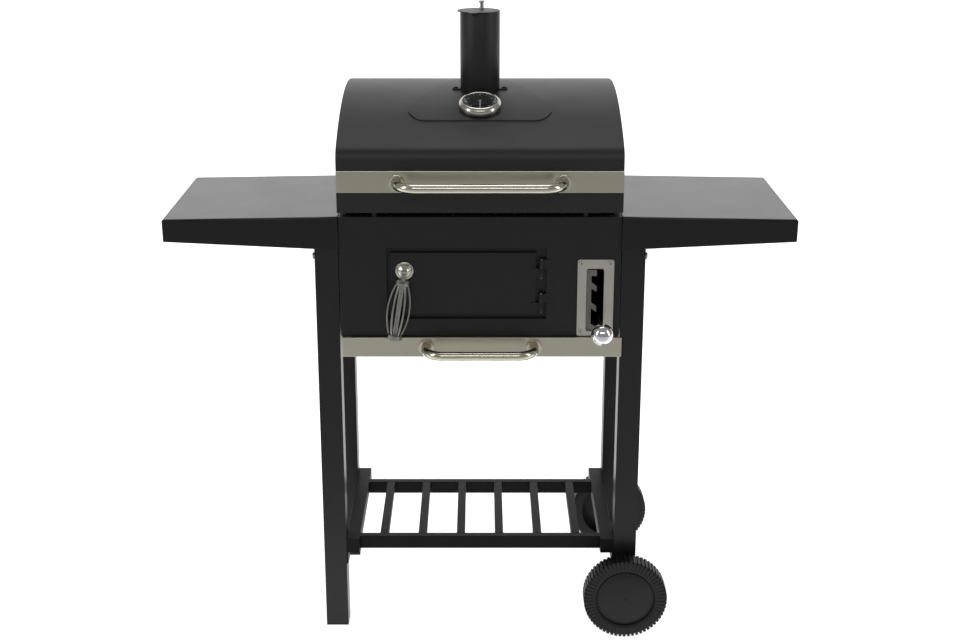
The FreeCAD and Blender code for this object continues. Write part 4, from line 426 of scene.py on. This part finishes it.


# The plate's four screws and the lid's two get dark bars of painted slot shade.
screw_low, screw_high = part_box("height_plate_screws")
screw_spots = [Vector((x, screw_low.y + CROSS_SINK, z))
               for x in (screw_low.x + HEAD_HALF, screw_high.x - HEAD_HALF)
               for z in (screw_low.z + HEAD_HALF, screw_high.z - HEAD_HALF)]
facing_front = Matrix.Rotation(math.radians(90), 3, "X")
piece_from("plate_screw_slot_shade", draw_crosses(screw_spots, facing_front), slot_shadow,
           "cart")
roof_low, roof_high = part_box("chimney_screws")
roof_y = (roof_low.y + roof_high.y) / 2
roof_spots = [Vector((x, roof_y, roof_high.z - CROSS_SINK))
              for x in (roof_low.x + HEAD_HALF, roof_high.x - HEAD_HALF)]
piece_from("chimney_screw_slot_shade", draw_crosses(roof_spots, Matrix.Identity(3)), slot_shadow,
           "lid")
print("screw slots", len(screw_spots) + len(roof_spots))

# %% [markdown]
# ## Floor, light and camera
# Black enamel only shows what it reflects, so the light is part of the finish. Four soft boxes
# do it: one overhead and behind that greys the lid's top and the shelves, one to the left and one
# to the right that draw the long edges, and a wide one high in front that fills the steel. The
# table glows under and behind the grill but fades in front of it, so that upright black sheet has
# something dark to reflect.

# %% Floor
front_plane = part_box("left_front_leg")[0].y
HALF_WIDTH = 9.0
FLOOR_FRONT = -7.0
FLOOR_BACK = 4.0
CURVE_RADIUS = 2.5
CURVE_STEPS = 10
WALL_TOP = 8.0
GLOW = 0.8
DARK_BELOW = 0.65
BRIGHT_FROM = 0.2


def make_floor():
    """A wide pale light table under the grill that curves up behind it."""
    work = bmesh.new()
    profile = [(FLOOR_FRONT, 0.0), (FLOOR_BACK, 0.0)]
    for step in range(1, CURVE_STEPS + 1):
        angle = math.radians(90 * step / CURVE_STEPS)
        profile.append((FLOOR_BACK + CURVE_RADIUS * math.sin(angle),
                        CURVE_RADIUS - CURVE_RADIUS * math.cos(angle)))
    profile.append((FLOOR_BACK + CURVE_RADIUS, WALL_TOP))
    rows = [[work.verts.new((x, y, z)) for y, z in profile] for x in (-HALF_WIDTH, HALF_WIDTH)]
    for i in range(len(profile) - 1):
        work.faces.new((rows[0][i], rows[1][i], rows[1][i + 1], rows[0][i + 1]))
    mesh = bpy.data.meshes.new("studio_floor")
    work.to_mesh(mesh)
    work.free()
    for face in mesh.polygons:
        face.use_smooth = True
    floor = bpy.data.objects.new("studio_floor", mesh)
    bpy.context.collection.objects.link(floor)
    finish, tree, surface, place = new_finish("pale_studio_paper", "#f2f2f1", 0.0, 0.85)
    fibre = add(tree, "ShaderNodeTexNoise", {"Scale": per_metre(3), "Detail": 2.0},
                {"Vector": place}).outputs["Fac"]
    relief(tree, surface, fibre, 0.05, 0.2)
    surface.inputs["Emission Color"].default_value = swatch("#ffffff")
    depth = add(tree, "ShaderNodeSeparateXYZ", None, {0: place}).outputs["Y"]
    glow = add(tree, "ShaderNodeMapRange",
               {"From Min": front_plane - DARK_BELOW, "From Max": front_plane - BRIGHT_FROM,
                "To Max": GLOW},
               {"Value": depth}).outputs["Result"]
    tree.links.new(glow, surface.inputs["Emission Strength"])
    mesh.materials.append(finish)


make_floor()
print("floor ready, glowing from", round(front_plane - BRIGHT_FROM, 3), "backwards")


# %% Lights
AIR_GLOW = 0.3


def soft_box(name, spot, aim, size, power):
    """A rectangular lamp pointed at a spot on the grill."""
    lamp = bpy.data.lights.new(name, "AREA")
    lamp.shape = "RECTANGLE"
    lamp.size, lamp.size_y = size
    lamp.energy = power
    holder = bpy.data.objects.new(name, lamp)
    holder.location = spot
    holder.rotation_euler = (Vector(aim) - Vector(spot)).to_track_quat("-Z", "Y").to_euler()
    bpy.context.collection.objects.link(holder)


soft_box("overhead_box", (0.0, 0.4, 3.4), (0.0, 0.0, 0.7), (1.6, 1.0), 16)
soft_box("left_box", (-2.8, -1.6, 2.0), (0.0, 0.0, 0.6), (0.7, 2.4), 26)
soft_box("right_box", (2.9, -1.3, 1.8), (0.0, 0.0, 0.6), (0.6, 2.4), 20)
soft_box("front_box", (0.0, -3.6, 3.0), (0.0, 0.0, 0.5), (3.0, 0.6), 22)
world = bpy.data.worlds.new("studio_air")
world.use_nodes = True
world.node_tree.nodes["Background"].inputs["Color"].default_value = swatch("#ffffff")
world.node_tree.nodes["Background"].inputs["Strength"].default_value = AIR_GLOW
bpy.context.scene.world = world
bpy.context.scene.view_settings.view_transform = "Standard"

# %% Camera
LENS_MM = 57.4
STAND_OFF = 2.512
EYE_HEIGHT = 1.4035
LOOK_DOWN_DEG = 17.93
camera_data = bpy.data.cameras.new("front_camera")
camera_data.sensor_width = 36.0
camera_data.lens = LENS_MM
camera = bpy.data.objects.new("front_camera", camera_data)
camera.location = (0.0, front_plane - STAND_OFF, EYE_HEIGHT)
camera.rotation_euler = (math.radians(90 - LOOK_DOWN_DEG), 0.0, 0.0)
bpy.context.collection.objects.link(camera)
bpy.context.scene.camera = camera
print("camera at", [round(v, 3) for v in camera.location])
